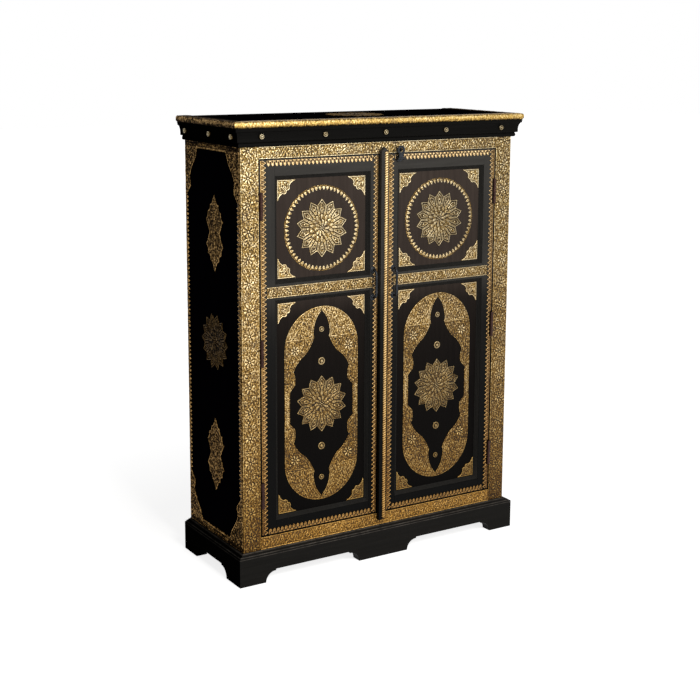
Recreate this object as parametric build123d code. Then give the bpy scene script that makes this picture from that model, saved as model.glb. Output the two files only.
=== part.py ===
from build123d import *
import math
import os

# A tall two-door cabinet of dark boards clad with embossed sheet brass.
# Millimetres. X runs to the right, Y from the front to the back and Z up.
# The origin is under the middle of the whole cabinet, on the floor.

# ---------------------------------------------------------------- case and boards
case_w = 966.0            # across the outer faces of the sides
case_d = 361.0            # from the face of the front frame to the back
case_h = 1200.0           # from the plinth to the cornice
side_t = 20.0             # thickness of a side panel
frame_t = 20.0            # thickness of the front frame
back_t = 10.0             # thickness of the back boards
back_count = 5            # upright boards in the back
floor_t = 20.0            # bottom board and inner top board
shelf_t = 18.0
shelf_count = 2
shelf_back_gap = 1.0      # between a shelf and the back boards
batten = 20.0             # square section of a shelf batten
batten_setback = 30.0     # from the front of the side to the batten

# ---------------------------------------------------------------- front frame
frame_stile_w = 58.5
frame_top_h = 35.0        # top rail that shows under the cornice
frame_bottom_h = 38.0     # bottom rail that shows above the plinth
stop_lip = 4.0            # how far the inner boards stand into the opening, to stop the doors
stop_gap = 0.6            # between a shut door and its stop
frame_sheet_t = 1.8       # embossed sheet on the front frame

# ---------------------------------------------------------------- plinth
plinth_h = 98.0
plinth_t = 36.0           # thickness of the plinth boards
plinth_out_front = 20.0   # beyond the face of the case
plinth_out_side = 23.0
plinth_back_t = 20.0
plinth_back_clear = 40.0  # from the floor to the back rail
mould_rise = 9.5          # height of the stepped edge on top of the plinth
foot_w = 88.0             # corner foot across the front, at the floor
centre_foot_w = 180.0
side_front_foot_w = 90.0
side_back_foot_w = 85.0
arch_r = 32.0             # quarter round at each end of an arch
arch_step = 4.5           # small step above the quarter round

# ---------------------------------------------------------------- cornice and top
cornice_h = 54.0
cornice_out = 26.0        # how far the moulding stands out at its top
top_t = 19.0              # over the brass wrap
top_out_front = 28.0
top_out_side = 30.0
wrap_t = 1.5              # brass wrap round the edge of the top
wrap_over = 42.0          # width of the wrap on the upper face
wrap_under = 14.0         # and on the lower face, where it meets the cornice
stud_r = 7.2              # ringed studs on the cornice
stud_t = 3.0
stud_up = 30.0            # from the foot of the cornice to a stud
front_studs_x = (-425.0, -216.0, -6.5, 213.5, 427.0)
side_studs_in = (12.0, 153.5, 315.0)   # behind the face of the case
top_rosette_r = 92.0

# ---------------------------------------------------------------- doors
door_t = 20.0
door_gap = 2.0            # round the doors
leaf_gap = 2.0            # between the two doors
meet_x = -16.5            # where the doors meet, under the astragal
left_outer_stile = 50.5
left_meet_stile = 27.5
right_outer_stile = 42.5
right_meet_stile = 68.5   # carries the astragal as well
door_top_rail_h = 49.0
door_mid_rail_h = 47.0
door_bottom_rail_h = 42.0
lower_panel_h = 670.0     # opening of the lower panel
panel_set = 12.0          # from the face of a door back to the face of a panel
panel_t = 6.0
moulding_w = 11.5
moulding_t = 11.0         # from the face of the panel forward

# ---------------------------------------------------------------- brass on the doors
sheet_t = 1.5
strip_edge = 1.5          # bare wood outside an edge strip
hinge_strip_w = 21.0
meet_strip_w = 18.0
end_strip_w = 18.5
tooth_depth = 9.0
tooth_pitch = 13.6
end_tooth_pitch = 13.4
strip_joint = 0.5         # between an upright strip and a level one
right_strip_in = 36.5     # bare wood beside the astragal, left of the right door's strip
band_h = 32.0             # brass band across the middle rail
corner_piece = 62.0
corner_gap = 1.5          # between the moulding and a corner piece
ring_side_margin = 36.0   # panel left bare on each side of the ring
ring_end_margin = 18.0    # and above and below it, at the least
ring_w = 15.5
ring_teeth = 58
ring_drop = 4.5           # ring and rosette sit this far below the middle of the panel
rosette_share = 88.0 / 127.5   # radius of a rosette over that of the ring round it
rosette_valley = 0.795    # depth of the notches between petals, of the rosette's radius
petal_bulge = 0.006       # how far the sides of a petal swell, of the rosette's radius
petals = 14
arch_side_margin = 36.0   # panel left bare on each side of the round-ended plate
arch_end_margin = 34.5
arch_plate_drop = 0.0
stud_spots = ((230.0, 9.5), (132.0, 13.0))   # height over the plate's middle, and radius

# ---------------------------------------------------------------- astragal, handles and hinges
astragal_left = -16.0
astragal_right = 12.5
astragal_back_t = 9.5     # part behind the roped rod
astragal_t = 15.0
astragal_end = 20.0       # over the rails, above and below the doors
astragal_clear = 0.6      # in front of the sheet on the rails
astragal_face = 11.5      # width of the raised flat beside the rod
rod_r = 6.4
rod_margin = 2.9          # wood right of the rod
rod_proud = 1.0           # middle of the rod in front of the step it lies on
rod_top_drop = 14.0
rod_foot_rise = 6.0
gable_h = 13.0
handle_span = 85.0
handle_drop = 4.0         # below the middle of the middle rail
handle_in = 17.0          # from the outer edge of the meeting strip
handle_out = 20.0         # from the brass to the middle of the bar
handle_bar_r = 4.2
handle_bend = 13.0
handle_plate_r = 10.0
handle_plate_t = 2.5
hinge_h = 79.0
hinge_top_in = 134.0
hinge_bottom_in = 127.0
knuckle_r = 4.75
knuckle_gap = 0.3         # along the pin, between knuckles
pin_r = 2.4
pin_play = 0.08
hinge_in = 5.5            # from the edge of the opening to the middle of the pin
hinge_out = 5.0           # from the face of the frame to the middle of the pin
hinge_leaf_t = 1.6
hinge_leaf_w = 18.0
hinge_notch = 1.0         # bare round a knuckle, in the edge strip

# ---------------------------------------------------------------- hasp
hasp_in = 70.5            # from the free edge of the right door
hasp_pivot_drop = 17.0    # from the top of the opening to the hasp's pivot
hasp_pivot_out = 13.0
hasp_reach = 26.0         # from the pivot to the eye
hasp_t = 4.0
hasp_w = 14.0
hasp_eye_r = 11.0
hasp_hole_r = 5.2
hasp_hole_long = 4.0      # how much longer than wide the eye is
hasp_pin_r = 2.0
hasp_foot_r = 10.0
hasp_foot_t = 3.0
hasp_ear_w = 3.0
hasp_play = 0.3
staple_wire_r = 1.2
staple_half = 2.8         # from the middle to each leg
staple_out = 25.0
staple_plate_r = 8.0
staple_plate_t = 1.2

# ---------------------------------------------------------------- brass on the sides
side_strip = 20.0         # upright border, over its teeth
side_strip_depth = 12.0   # depth of those teeth
side_tooth_pitch = 13.0
side_top_strip = 16.5
side_bottom_strip = 20.0
spandrel_w = 94.0         # along the top and bottom
spandrel_h = 167.0        # down the uprights
cartouche_h = 228.0
cartouche_half = 56.0     # half width at the lobes
cartouche_waist = 32.0
cartouche_up = 344.0      # from the middle of the side to the middle of the upper cartouche
cartouche_down = 337.0
side_rosette_r = 86.0
side_rosette_fwd = 8.0    # in front of the middle of the side
side_rosette_up = 11.0
upper_cartouche_fwd = 16.0
lower_cartouche_fwd = 6.0

# ---------------------------------------------------------------- levels and faces worked out
depth = case_d + top_out_front
front = top_out_front - depth / 2
back = depth / 2
half_w = case_w / 2
z_case = plinth_h
z_cornice = plinth_h + case_h
z_top = z_cornice + cornice_h
z_wood_under = z_top + wrap_t
z_all = z_top + top_t
open_half = half_w - frame_stile_w
open_bottom = z_case + frame_bottom_h
open_top = z_cornice - frame_top_h
inner_half = half_w - side_t
frame_back = front + frame_t
back_face = back - back_t
leaf_bottom = open_bottom + door_gap
leaf_top = open_top - door_gap
lower_z0 = leaf_bottom + door_bottom_rail_h
lower_z1 = lower_z0 + lower_panel_h
upper_z0 = lower_z1 + door_mid_rail_h
upper_z1 = leaf_top - door_top_rail_h
upper_panel_h = upper_z1 - upper_z0
mid_rail_z = (lower_z1 + upper_z0) / 2
panel_face = front + panel_set
shelf_front = frame_back + stop_gap
floor_top = open_bottom + stop_lip
ceiling = open_top - stop_lip
left_free_x = meet_x - leaf_gap / 2
right_free_x = meet_x + leaf_gap / 2
hasp_x = right_free_x + hasp_in

FRONT = Plane(origin=(0, 0, 0), x_dir=(1, 0, 0), z_dir=(0, -1, 0))
LEFT = Plane(origin=(0, 0, 0), x_dir=(0, -1, 0), z_dir=(-1, 0, 0))
nodes = {}


# ---------------------------------------------------------------- ways of making a solid
def block(x0, x1, y0, y1, z0, z1):
    """A box between two corners."""
    middle = Pos((x0 + x1) / 2, (y0 + y1) / 2, (z0 + z1) / 2)
    return middle * Box(abs(x1 - x0), abs(y1 - y0), abs(z1 - z0))


def face_of(path):
    """A closed flat face in XY. The path is (point, arc middle or None) in turn, and closes on its start."""
    edges = []
    for (here, _), (there, through) in zip(path, path[1:] + path[:1]):
        if math.dist(here, there) < 0.001:
            continue
        edges.append(ThreePointArc(here, through, there) if through else Line(here, there))
    return make_face(edges)


def polygon(points):
    """A closed flat face in XY with straight edges."""
    return make_face(Polyline(*points, close=True))


def flipped(path, sx, sy):
    """The path mirrored and walked backwards, so that it can follow the one it came from."""
    out = []
    for i in range(len(path) - 1, -1, -1):
        x, y = path[i][0]
        through = path[i + 1][1] if i + 1 < len(path) else None
        out.append(((sx * x, sy * y), (sx * through[0], sy * through[1]) if through else None))
    return out


def four_way(quarter):
    """A whole outline from the quarter in +X, +Y that starts at the top."""
    half = quarter + flipped(quarter, 1, -1)
    return half + flipped(half, -1, 1)


def on_front(face, y, t):
    """The face, drawn in X and Z, as a sheet whose back lies at y."""
    return extrude(Pos(0, y, 0) * (FRONT * face), amount=t, dir=(0, -1, 0))


def on_left(face, x, t):
    """The face, drawn in -Y and Z, as a sheet whose back lies at x on the left side."""
    return extrude(Pos(x, 0, 0) * (LEFT * face), amount=t, dir=(-1, 0, 0))


def mirrored(shapes):
    """The shapes on the other side of the cabinet."""
    return [shape.mirror(Plane.YZ) for shape in shapes]


def teeth(length, pitch, depth_of):
    """Points of a toothed edge along +X, from one end to the other."""
    count = max(1, round(length / pitch))
    step = length / count
    points = [(0.0, 0.0)]
    for i in range(count):
        points += [((i + 0.5) * step, depth_of), ((i + 1) * step, 0.0)]
    return points


def petal_outline(r, valley, count, turn=0.0):
    """A round outline of pointed petals. The first points up, or is turned by a share of a petal."""
    path = []
    half = math.pi / count
    low, mid = r * valley, r * (1 + 2 * valley) / 3
    for i in range(count):
        tip = math.pi / 2 + 2 * half * (i + turn)
        spots = ((low, -1.0), (mid + petal_bulge * r, -0.62), (r, 0.0), (mid + petal_bulge * r, 0.62))
        a, b, c, d = [(q * math.cos(tip + k * half), q * math.sin(tip + k * half)) for q, k in spots]
        path += [(a, None if i == 0 else last), (c, b)]
        last = d
    path[0] = (path[0][0], last)
    return path


def stud(r, t):
    """A ringed stud that lies on XY and points along +Z."""
    ring = Pos(0, 0, t * 0.25) * Cylinder(r, t * 0.5)
    boss = Pos(0, 0, t * 0.75) * Cone(r * 0.5, r * 0.25, t * 0.5)
    return ring + boss


# ---------------------------------------------------------------- case
def make_case():
    nodes["side_panel_left"] = [block(-half_w, -inner_half, frame_back, back, z_case, z_wood_under)]
    nodes["side_panel_right"] = mirrored(nodes["side_panel_left"])
    board_w = 2 * inner_half / back_count
    boards = []
    for i in range(back_count):
        x0 = -inner_half + i * board_w
        board = block(x0, x0 + board_w, back_face, back, z_case, z_wood_under)
        outer = board.edges().filter_by(Axis.Z).group_by(Axis.Y)[-1]
        boards.append(chamfer(outer, min(1.5, back_t / 4)))
    nodes["back_boards"] = boards
    nodes["bottom_board"] = [block(-inner_half, inner_half, shelf_front, back_face,
                                   floor_top - floor_t, floor_top)]
    nodes["inner_top_board"] = [block(-inner_half, inner_half, shelf_front, back_face,
                                      ceiling, ceiling + floor_t)]


def make_shelves():
    clear = (ceiling - floor_top - shelf_count * shelf_t) / (shelf_count + 1)
    battens = []
    for i in range(shelf_count):
        z0 = floor_top + (i + 1) * clear + i * shelf_t
        name = ("lower_shelf", "upper_shelf", "top_shelf")[min(i, 2)]
        shelf = block(-inner_half, inner_half, frame_back + batten_setback,
                      back_face - shelf_back_gap, z0, z0 + shelf_t)
        nodes[name] = nodes.get(name, []) + [shelf]
        left = block(-inner_half, -inner_half + batten, frame_back + batten_setback, back_face,
                     z0 - batten, z0)
        battens += [left] + mirrored([left])
    nodes["shelf_battens"] = battens


def make_front_frame():
    nodes["frame_stile_left"] = [block(-half_w, -open_half, front, frame_back, z_case, z_wood_under)]
    nodes["frame_stile_right"] = mirrored(nodes["frame_stile_left"])
    nodes["frame_top_rail"] = [block(-open_half, open_half, front, frame_back, open_top, z_wood_under)]
    nodes["frame_bottom_rail"] = [block(-open_half, open_half, front, frame_back, z_case, open_bottom)]
    y1 = front - frame_sheet_t
    upright = block(-half_w, -open_half - strip_joint, y1, front, z_case, z_cornice)
    level = []
    for z0, z1 in ((z_case, open_bottom), (open_top, z_cornice)):
        level.append(block(-open_half, open_half, y1, front, z0, z1))
    nodes["front_frame_brass"] = [upright] + mirrored([upright]) + level


# ---------------------------------------------------------------- plinth
def arch_face(u0, u1):
    """The arch between two feet, from the floor up: quarter rounds and a small step at each end."""
    lean = arch_r * math.sqrt(0.5)
    ledge = arch_r + arch_step / 2
    rise = arch_r + arch_step
    path = [((u0, -1.0), None), ((u0, 0.0), None)]
    path += [((u0 + arch_r, arch_r), (u0 + arch_r - lean, lean))]
    path += [((u0 + ledge, arch_r), None), ((u0 + ledge, rise), None), ((u1 - ledge, rise), None)]
    path += [((u1 - ledge, arch_r), None), ((u1 - arch_r, arch_r), None)]
    path += [((u1, 0.0), (u1 - arch_r + lean, lean)), ((u1, -1.0), None)]
    return face_of(path)


def plinth_section(out):
    """Section of a plinth board: u outwards from the face of the case, v up. The top edge is stepped."""
    drop = mould_rise / 9.5
    steps = ((3.0, 0.0), (4.0, 1.5), (9.0, 2.6), (10.0, 4.6), (15.0, 5.6), (16.0, 8.0), (20.0, 9.5))
    points = [(out - plinth_t, 0.0), (out - plinth_t, plinth_h)]
    points += [(out * u / 20.0, plinth_h - drop * v) for u, v in steps]
    points += [(out, 0.0)]
    return points


def mitred(section_front, section_side, z_shift):
    """Front and left lengths of a moulding round the case, mitred at the front corner."""
    far = 60.0
    long_x = half_w + far
    slope = max(u for u, _ in section_side) / max(u for u, _ in section_front)
    place = Plane(origin=(long_x, front, z_shift), x_dir=(0, -1, 0), z_dir=(-1, 0, 0))
    run = extrude(place * polygon(section_front), amount=2 * long_x)
    cut = [(-half_w + slope * far, front + far), (-half_w - slope * far, front - far),
           (half_w + slope * far, front - far), (half_w - slope * far, front + far)]
    front_piece = run & extrude(polygon(cut), amount=2 * z_all)
    place = Plane(origin=(-half_w, front - far, z_shift), x_dir=(-1, 0, 0), z_dir=(0, 1, 0))
    run = extrude(place * polygon(section_side), amount=back - front + far)
    cut = [(-half_w + slope * far, front + far), (-half_w - slope * far, front - far),
           (-half_w - slope * 2 * far, front - far), (-half_w - slope * 2 * far, back),
           (-half_w + slope * far, back)]
    side_piece = run & extrude(polygon(cut), amount=2 * z_all)
    return front_piece, side_piece


def make_plinth():
    front_piece, left = mitred(plinth_section(plinth_out_front), plinth_section(plinth_out_side), 0.0)
    outer = half_w + plinth_out_side
    for side in (-1, 1):
        a, b = sorted((side * (outer - foot_w), side * centre_foot_w / 2))
        front_piece -= Pos(0, front + plinth_t, 0) * extrude(FRONT * arch_face(a, b), amount=2 * plinth_t,
                                                             dir=(0, -1, 0))
    y0 = front - plinth_out_front + side_front_foot_w
    y1 = back - side_back_foot_w
    left -= Pos(-half_w + plinth_t, 0, 0) * extrude(LEFT * arch_face(-y1, -y0), amount=3 * plinth_t,
                                                    dir=(-1, 0, 0))
    nodes["plinth_front"] = [front_piece]
    nodes["plinth_left"] = [left]
    nodes["plinth_right"] = mirrored([left])
    inside = half_w + plinth_out_side - plinth_t
    nodes["plinth_back"] = [block(-inside, inside, back - plinth_back_t, back, plinth_back_clear, plinth_h)]


# ---------------------------------------------------------------- cornice and top
def cornice_section():
    """Section of the cornice: u outwards, v up from its foot. Bead, groove, torus, cove and fillet."""
    k = cornice_out / 26.0
    h = cornice_h / 54.0
    points = [(0, 0), (8.0, 0), (9.8, 1.5), (11.0, 5.5), (9.8, 10.0), (8.5, 12.0), (9.5, 13.0)]
    points += [(14.5, 13.5), (16.5, 16.0), (16.0, 19.0)]
    cove = [math.radians(10 + 16 * i) for i in range(6)]
    points += [(16.0 + 8.5 * (1 - math.cos(a)), 19.5 + 25.0 * math.sin(a)) for a in cove]
    points += [(25.0, 45.5), (25.0, 49.5), (26.0, 50.0), (26.0, 54.0), (0, 54.0)]
    return [(k * u, h * v) for u, v in points]


def make_cornice():
    section = cornice_section()
    front_piece, left = mitred(section, section, z_cornice)
    nodes["cornice_front"] = [front_piece]
    nodes["cornice_left"] = [left]
    nodes["cornice_right"] = mirrored([left])
    z = z_cornice + stud_up
    reach = cornice_out * 0.9
    back_y = front - reach
    studs = []
    for x in front_studs_x:
        studs.append(Pos(x, back_y, z) * Rot(90, 0, 0) * stud(stud_r, stud_t))
        studs.append(Pos(x, back_y, z) * Rot(-90, 0, 0) * Pos(0, 0, 5) * Cylinder(2.0, 10.0))
    front_studs = [a + b - front_piece for a, b in zip(studs[::2], studs[1::2])]
    left_studs = []
    x = -half_w - reach
    for setback in side_studs_in:
        y = front + setback
        head = Pos(x, y, z) * Rot(0, -90, 0) * stud(stud_r, stud_t)
        nail = Pos(x, y, z) * Rot(0, 90, 0) * Pos(0, 0, 5) * Cylinder(2.0, 10.0)
        left_studs.append(head + nail - left)
    nodes["cornice_studs"] = front_studs + left_studs + mirrored(left_studs)


def make_top():
    x = half_w + top_out_side
    y = front - top_out_front
    z1 = z_all
    nodes["top_board"] = [block(-x + wrap_t, x - wrap_t, y + wrap_t, back, z_wood_under, z1 - wrap_t)]
    outer = block(-x, x, y, back, z_top, z1)
    outer = fillet(outer.edges().filter_by(Axis.X).group_by(Axis.Y)[0], wrap_t * 0.9)
    core = block(-x + wrap_t, x - wrap_t, y + wrap_t, back + 1, z_wood_under, z1 - wrap_t)
    over = block(-x + wrap_over, x - wrap_over, y + wrap_over, back + 1, z1 - wrap_t - 1, z1 + 1)
    under = block(-x + wrap_under, x - wrap_under, y + wrap_under, back + 1, z_top - 1, z_wood_under + 1)
    nodes["top_edge_brass"] = [outer - core - over - under]
    rosette = face_of(petal_outline(top_rosette_r, rosette_valley, petals))
    nodes["top_rosette"] = [extrude(Pos(0, 0, z1 - wrap_t) * rosette, amount=wrap_t)]


# ---------------------------------------------------------------- brass on the sides
def side_window():
    """The bare field of a side inside its border sheet, in -Y and Z."""
    mid_z = (z_case + z_cornice) / 2
    half_d = case_d / 2
    low = side_strip - side_strip_depth
    w, h = spandrel_w, spandrel_h

    def corner(strip):
        """Scalloped edge of a spandrel: distance in from the upright edge, and down from the level one."""
        return [(w, strip), (0.88 * w, strip + 0.05 * h), (0.79 * w, 0.29 * h), (0.62 * w, 0.40 * h),
                (0.43 * w, 0.53 * h), (0.34 * w, 0.64 * h), (0.40 * w, 0.76 * h), (0.39 * w, 0.82 * h),
                (low, h)]

    top = [(half_d - e, z_cornice - mid_z - v) for e, v in corner(side_top_strip)]
    bottom = [(half_d - e, z_case - mid_z + v) for e, v in corner(side_bottom_strip)]
    run = top[-1][1] - bottom[-1][1]
    edge = [(half_d - low - v, top[-1][1] - u) for u, v in teeth(run, side_tooth_pitch, side_strip_depth)]
    right = top[:-1] + edge + bottom[::-1][1:]
    points = right + [(-u, v) for u, v in right[::-1]]
    mid_y = (front + back) / 2
    return [(u - mid_y, v + mid_z) for u, v in points]


def cartouche(z, fwd):
    """A pointed double-lobed plate about height z, in -Y and Z."""
    a, b, h = cartouche_half, cartouche_waist, cartouche_h / 2
    quarter = [((0, h), None), ((0.08 * a, 0.93 * h), None), ((0.17 * a, 0.85 * h), None),
               ((0.47 * a, 0.74 * h), (0.27 * a, 0.78 * h)), ((0.50 * a, 0.63 * h), None),
               ((0.74 * a, 0.57 * h), (0.61 * a, 0.585 * h)), ((0.76 * a, 0.46 * h), None),
               ((a, 0.34 * h), (0.86 * a, 0.38 * h)), ((0.83 * a, 0.23 * h), None), ((b, 0.0), None)]
    mid_y = (front + back) / 2
    return Pos(fwd - mid_y, z) * face_of(four_way(quarter))


def make_side_brass():
    border = polygon([(-front, z_case), (-back, z_case), (-back, z_cornice), (-front, z_cornice)])
    border -= polygon(side_window())
    nodes["side_border_brass_left"] = [on_left(border, -half_w, sheet_t)]
    nodes["side_border_brass_right"] = mirrored(nodes["side_border_brass_left"])
    mid_z = (z_case + z_cornice) / 2
    mid_y = (front + back) / 2
    plates = []
    for off, fwd in ((-cartouche_down, lower_cartouche_fwd), (cartouche_up, upper_cartouche_fwd)):
        plates.append(on_left(cartouche(mid_z + off, fwd), -half_w, sheet_t))
    rosette = face_of(petal_outline(side_rosette_r, rosette_valley, petals, 0.5))
    middle = Pos(side_rosette_fwd - mid_y, mid_z + side_rosette_up)
    plates.append(on_left(middle * rosette, -half_w, sheet_t))
    nodes["side_medallions_left"] = plates
    nodes["side_medallions_right"] = mirrored(plates)


# ---------------------------------------------------------------- doors, made as a left door
def hinge_heights():
    """Middles of the three hinges."""
    low = leaf_bottom + hinge_bottom_in
    high = leaf_top - hinge_top_in
    return (low, (low + high) / 2, high)


def make_leaf(name, x1, outer_stile, meet_stile, meet_in, place):
    """The woodwork of a door whose free edge is at x1. place puts the left-hand shapes where this door is."""
    x0 = -open_half + door_gap
    xa = x0 + outer_stile
    xb = x1 - meet_stile
    y1 = front + door_t
    hinge_stile = block(x0, xa, front, y1, leaf_bottom, leaf_top)
    for z in hinge_heights():
        hinge_stile -= block(x0 - 1, x0 + hinge_leaf_t, front - 1, front + hinge_leaf_w,
                             z - hinge_h / 2, z + hinge_h / 2)
    nodes[name + "_hinge_stile"] = place([hinge_stile])
    nodes[name + "_meeting_stile"] = place([block(xb, x1, front, y1, leaf_bottom, leaf_top)])
    rails = [block(xa, xb, front, y1, z0, z1)
             for z0, z1 in ((leaf_bottom, lower_z0), (lower_z1, upper_z0), (upper_z1, leaf_top))]
    nodes[name + "_rails"] = place(rails)
    panels = []
    mouldings = []
    for z0, z1 in ((lower_z0, lower_z1), (upper_z0, upper_z1)):
        panels.append(block(xa, xb, panel_face, panel_face + panel_t, z0, z1))
        mouldings.append(moulding_frame(xa, xb, z0, z1))
    nodes[name + "_panels"] = place(panels)
    nodes[name + "_mouldings"] = place(mouldings)
    make_leaf_brass(name, x0, x1, xa, xb, meet_in, place)


def moulding_frame(x0, x1, z0, z1):
    """A stepped frame that slopes from the face of the door down to the panel."""
    frame = block(x0, x1, panel_face - moulding_t, panel_face, z0, z1)
    steps = ((0.12, 0.22, 0.0, 0.22), (0.34, 0.46, 0.22, 0.50), (0.62, 0.72, 0.50, 0.78),
             (0.84, 1.0, 0.78, 1.0))
    for near, far, top, bottom in steps:
        y_near = panel_face - moulding_t * (1 - top)
        y_far = panel_face - moulding_t * (1 - bottom)
        rings = []
        for y, inset in ((y_near, near * moulding_w), (y_far, far * moulding_w)):
            corners = [(x0 + inset, z0 + inset), (x1 - inset, z0 + inset),
                       (x1 - inset, z1 - inset), (x0 + inset, z1 - inset)]
            rings.append(Pos(0, y, 0) * (FRONT * polygon(corners)))
        frame -= loft(rings)
    return frame


def upright_strip(x_edge, x_tip_base, z0, z1, notches):
    """An edge strip with teeth that point away from x_edge. Each notch is (z0, z1, x) on its plain edge."""
    way = 1 if x_tip_base > x_edge else -1
    points = [(x_edge, z0)]
    for low, high, x in notches:
        points += [(x_edge, low), (x, low), (x, high), (x_edge, high)]
    points += [(x_edge, z1)]
    toothed = [(x_tip_base + way * v, z1 - u) for u, v in teeth(z1 - z0, tooth_pitch, tooth_depth)]
    return on_front(polygon(points + toothed), front, sheet_t)


def level_strip(x0, x1, z_edge, z_tip_base):
    """An edge strip along the top or bottom, with teeth that point away from z_edge."""
    way = 1 if z_tip_base > z_edge else -1
    toothed = [(x0 + u, z_tip_base + way * v) for u, v in teeth(x1 - x0, end_tooth_pitch, tooth_depth)]
    return on_front(polygon([(x1, z_edge), (x0, z_edge)] + toothed), front, sheet_t)


def corner_face():
    """A corner piece: its right angle at the origin, its inner edge waisted between lobes."""
    s = corner_piece
    half = [((0, 0), None), ((s, 0), None), ((0.94 * s, 0.07 * s), None),
            ((0.66 * s, 0.30 * s), (0.80 * s, 0.13 * s)), ((0.52 * s, 0.52 * s), (0.67 * s, 0.44 * s))]
    other = [((0.30 * s, 0.66 * s), (0.44 * s, 0.67 * s)), ((0.07 * s, 0.94 * s), (0.13 * s, 0.80 * s)),
             ((0, s), None)]
    return face_of(half + other)


def ring_face(ring_r):
    """A thin ring whose inner edge is a row of pointed drops."""
    rim = ring_r - ring_w * 0.25
    points = []
    half = math.pi / ring_teeth
    for i in range(ring_teeth):
        a = 2 * half * i
        for r, k in ((rim, -1.0), (ring_r - ring_w * 0.6, -0.72), (ring_r - ring_w, 0.0),
                     (ring_r - ring_w * 0.6, 0.72)):
            points.append((r * math.cos(a + k * half), r * math.sin(a + k * half)))
    return Circle(ring_r) - polygon(points)


def arch_plate_face(a, h):
    """A round-ended plate, 2a wide and 2h tall, with a pointed ogee opening."""
    plate = RectangleRounded(2 * a, 2 * h, a - 0.01)
    quarter = [((0, 0.95 * h), None), ((0.215 * a, 0.766 * h), (0.15 * a, 0.87 * h)),
               ((0.20 * a, 0.695 * h), (0.225 * a, 0.73 * h)),
               ((0.44 * a, 0.525 * h), (0.28 * a, 0.62 * h)),
               ((0.76 * a, 0.365 * h), (0.62 * a, 0.46 * h)),
               ((0.73 * a, 0.222 * h), (0.715 * a, 0.29 * h)),
               ((0.87 * a, 0.158 * h), None), ((0.87 * a, 0.0), None)]
    return plate - face_of(four_way(quarter))


def make_leaf_brass(name, x0, x1, xa, xb, meet_in, place):
    """The brass of a door, in sheets that lie on its face and in its panels."""
    z0 = leaf_bottom + strip_edge
    z1 = leaf_top - strip_edge
    outer = x0 + strip_edge
    inner = x1 - meet_in
    notch_x = -open_half + hinge_in + knuckle_r + hinge_notch
    reach = hinge_h / 2 + hinge_notch
    notches = [(z - reach, z + reach, notch_x) for z in hinge_heights()]
    hinge_strip = upright_strip(outer, outer + hinge_strip_w - tooth_depth, z0, z1, notches)
    meet_strip = upright_strip(inner, inner - meet_strip_w + tooth_depth, z0, z1, [])
    left = outer + hinge_strip_w + strip_joint
    right = inner - meet_strip_w - strip_joint
    low_strip = level_strip(left, right, z0, z0 + end_strip_w - tooth_depth)
    high_strip = level_strip(left, right, z1, z1 - end_strip_w + tooth_depth)
    band = block(left, right, front - sheet_t, front, mid_rail_z - band_h / 2, mid_rail_z + band_h / 2)
    nodes[name + "_edge_brass"] = place([hinge_strip, meet_strip, low_strip, high_strip, band])
    corners = []
    inset = moulding_w + corner_gap
    for low, high in ((lower_z0, lower_z1), (upper_z0, upper_z1)):
        for x, z, turn in ((xa + inset, low + inset, 0), (xb - inset, low + inset, 90),
                           (xb - inset, high - inset, 180), (xa + inset, high - inset, 270)):
            corners.append(on_front(Pos(x, z) * Rot(0, 0, turn) * corner_face(), panel_face, sheet_t))
    nodes[name + "_corner_pieces"] = place(corners)
    xm = (xa + xb) / 2
    upper_z = (upper_z0 + upper_z1) / 2 - ring_drop
    lower_z = (lower_z0 + lower_z1) / 2 - arch_plate_drop
    full_r = (xb - xa) / 2 - ring_side_margin
    ring_r = min(full_r, upper_panel_h / 2 - ring_drop - ring_end_margin)
    medallions = [on_front(Pos(xm, upper_z) * ring_face(ring_r), panel_face, sheet_t)]
    for r, z in ((ring_r, upper_z), (full_r, lower_z)):
        rosette = face_of(petal_outline(rosette_share * r, rosette_valley, petals))
        medallions.append(on_front(Pos(xm, z) * rosette, panel_face, sheet_t))
    nodes[name + "_medallions"] = place(medallions)
    arch = arch_plate_face((xb - xa) / 2 - arch_side_margin, lower_panel_h / 2 - arch_end_margin)
    nodes[name + "_arch_plate"] = place([on_front(Pos(xm, lower_z) * arch, panel_face, sheet_t)])
    studs = []
    for up, r in stud_spots:
        for way in (-1, 1):
            studs.append(Pos(xm, panel_face, lower_z + way * up) * Rot(90, 0, 0) * stud(r, stud_t))
    nodes[name + "_studs"] = place(studs)
    make_handle(name, inner - handle_in, place)


def make_handle(name, x, place):
    """A forged D-shaped pull: two round plates and a bar bent out from one to the other."""
    z = mid_rail_z - handle_drop
    y0 = front - sheet_t
    ends = (z + handle_span / 2, z - handle_span / 2)
    root = y0 - handle_plate_t / 2
    path = FilletPolyline((x, root, ends[0]), (x, y0 - handle_out, ends[0]),
                          (x, y0 - handle_out, ends[1]), (x, root, ends[1]), radius=handle_bend)
    section = Plane(origin=(x, root, ends[0]), z_dir=(0, -1, 0)) * Circle(handle_bar_r)
    handle = sweep(section, path=path)
    for end in ends:
        handle += Pos(x, root, end) * Rot(90, 0, 0) * Cylinder(handle_plate_r, handle_plate_t)
    nodes[name + "_handle"] = place([handle])


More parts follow.
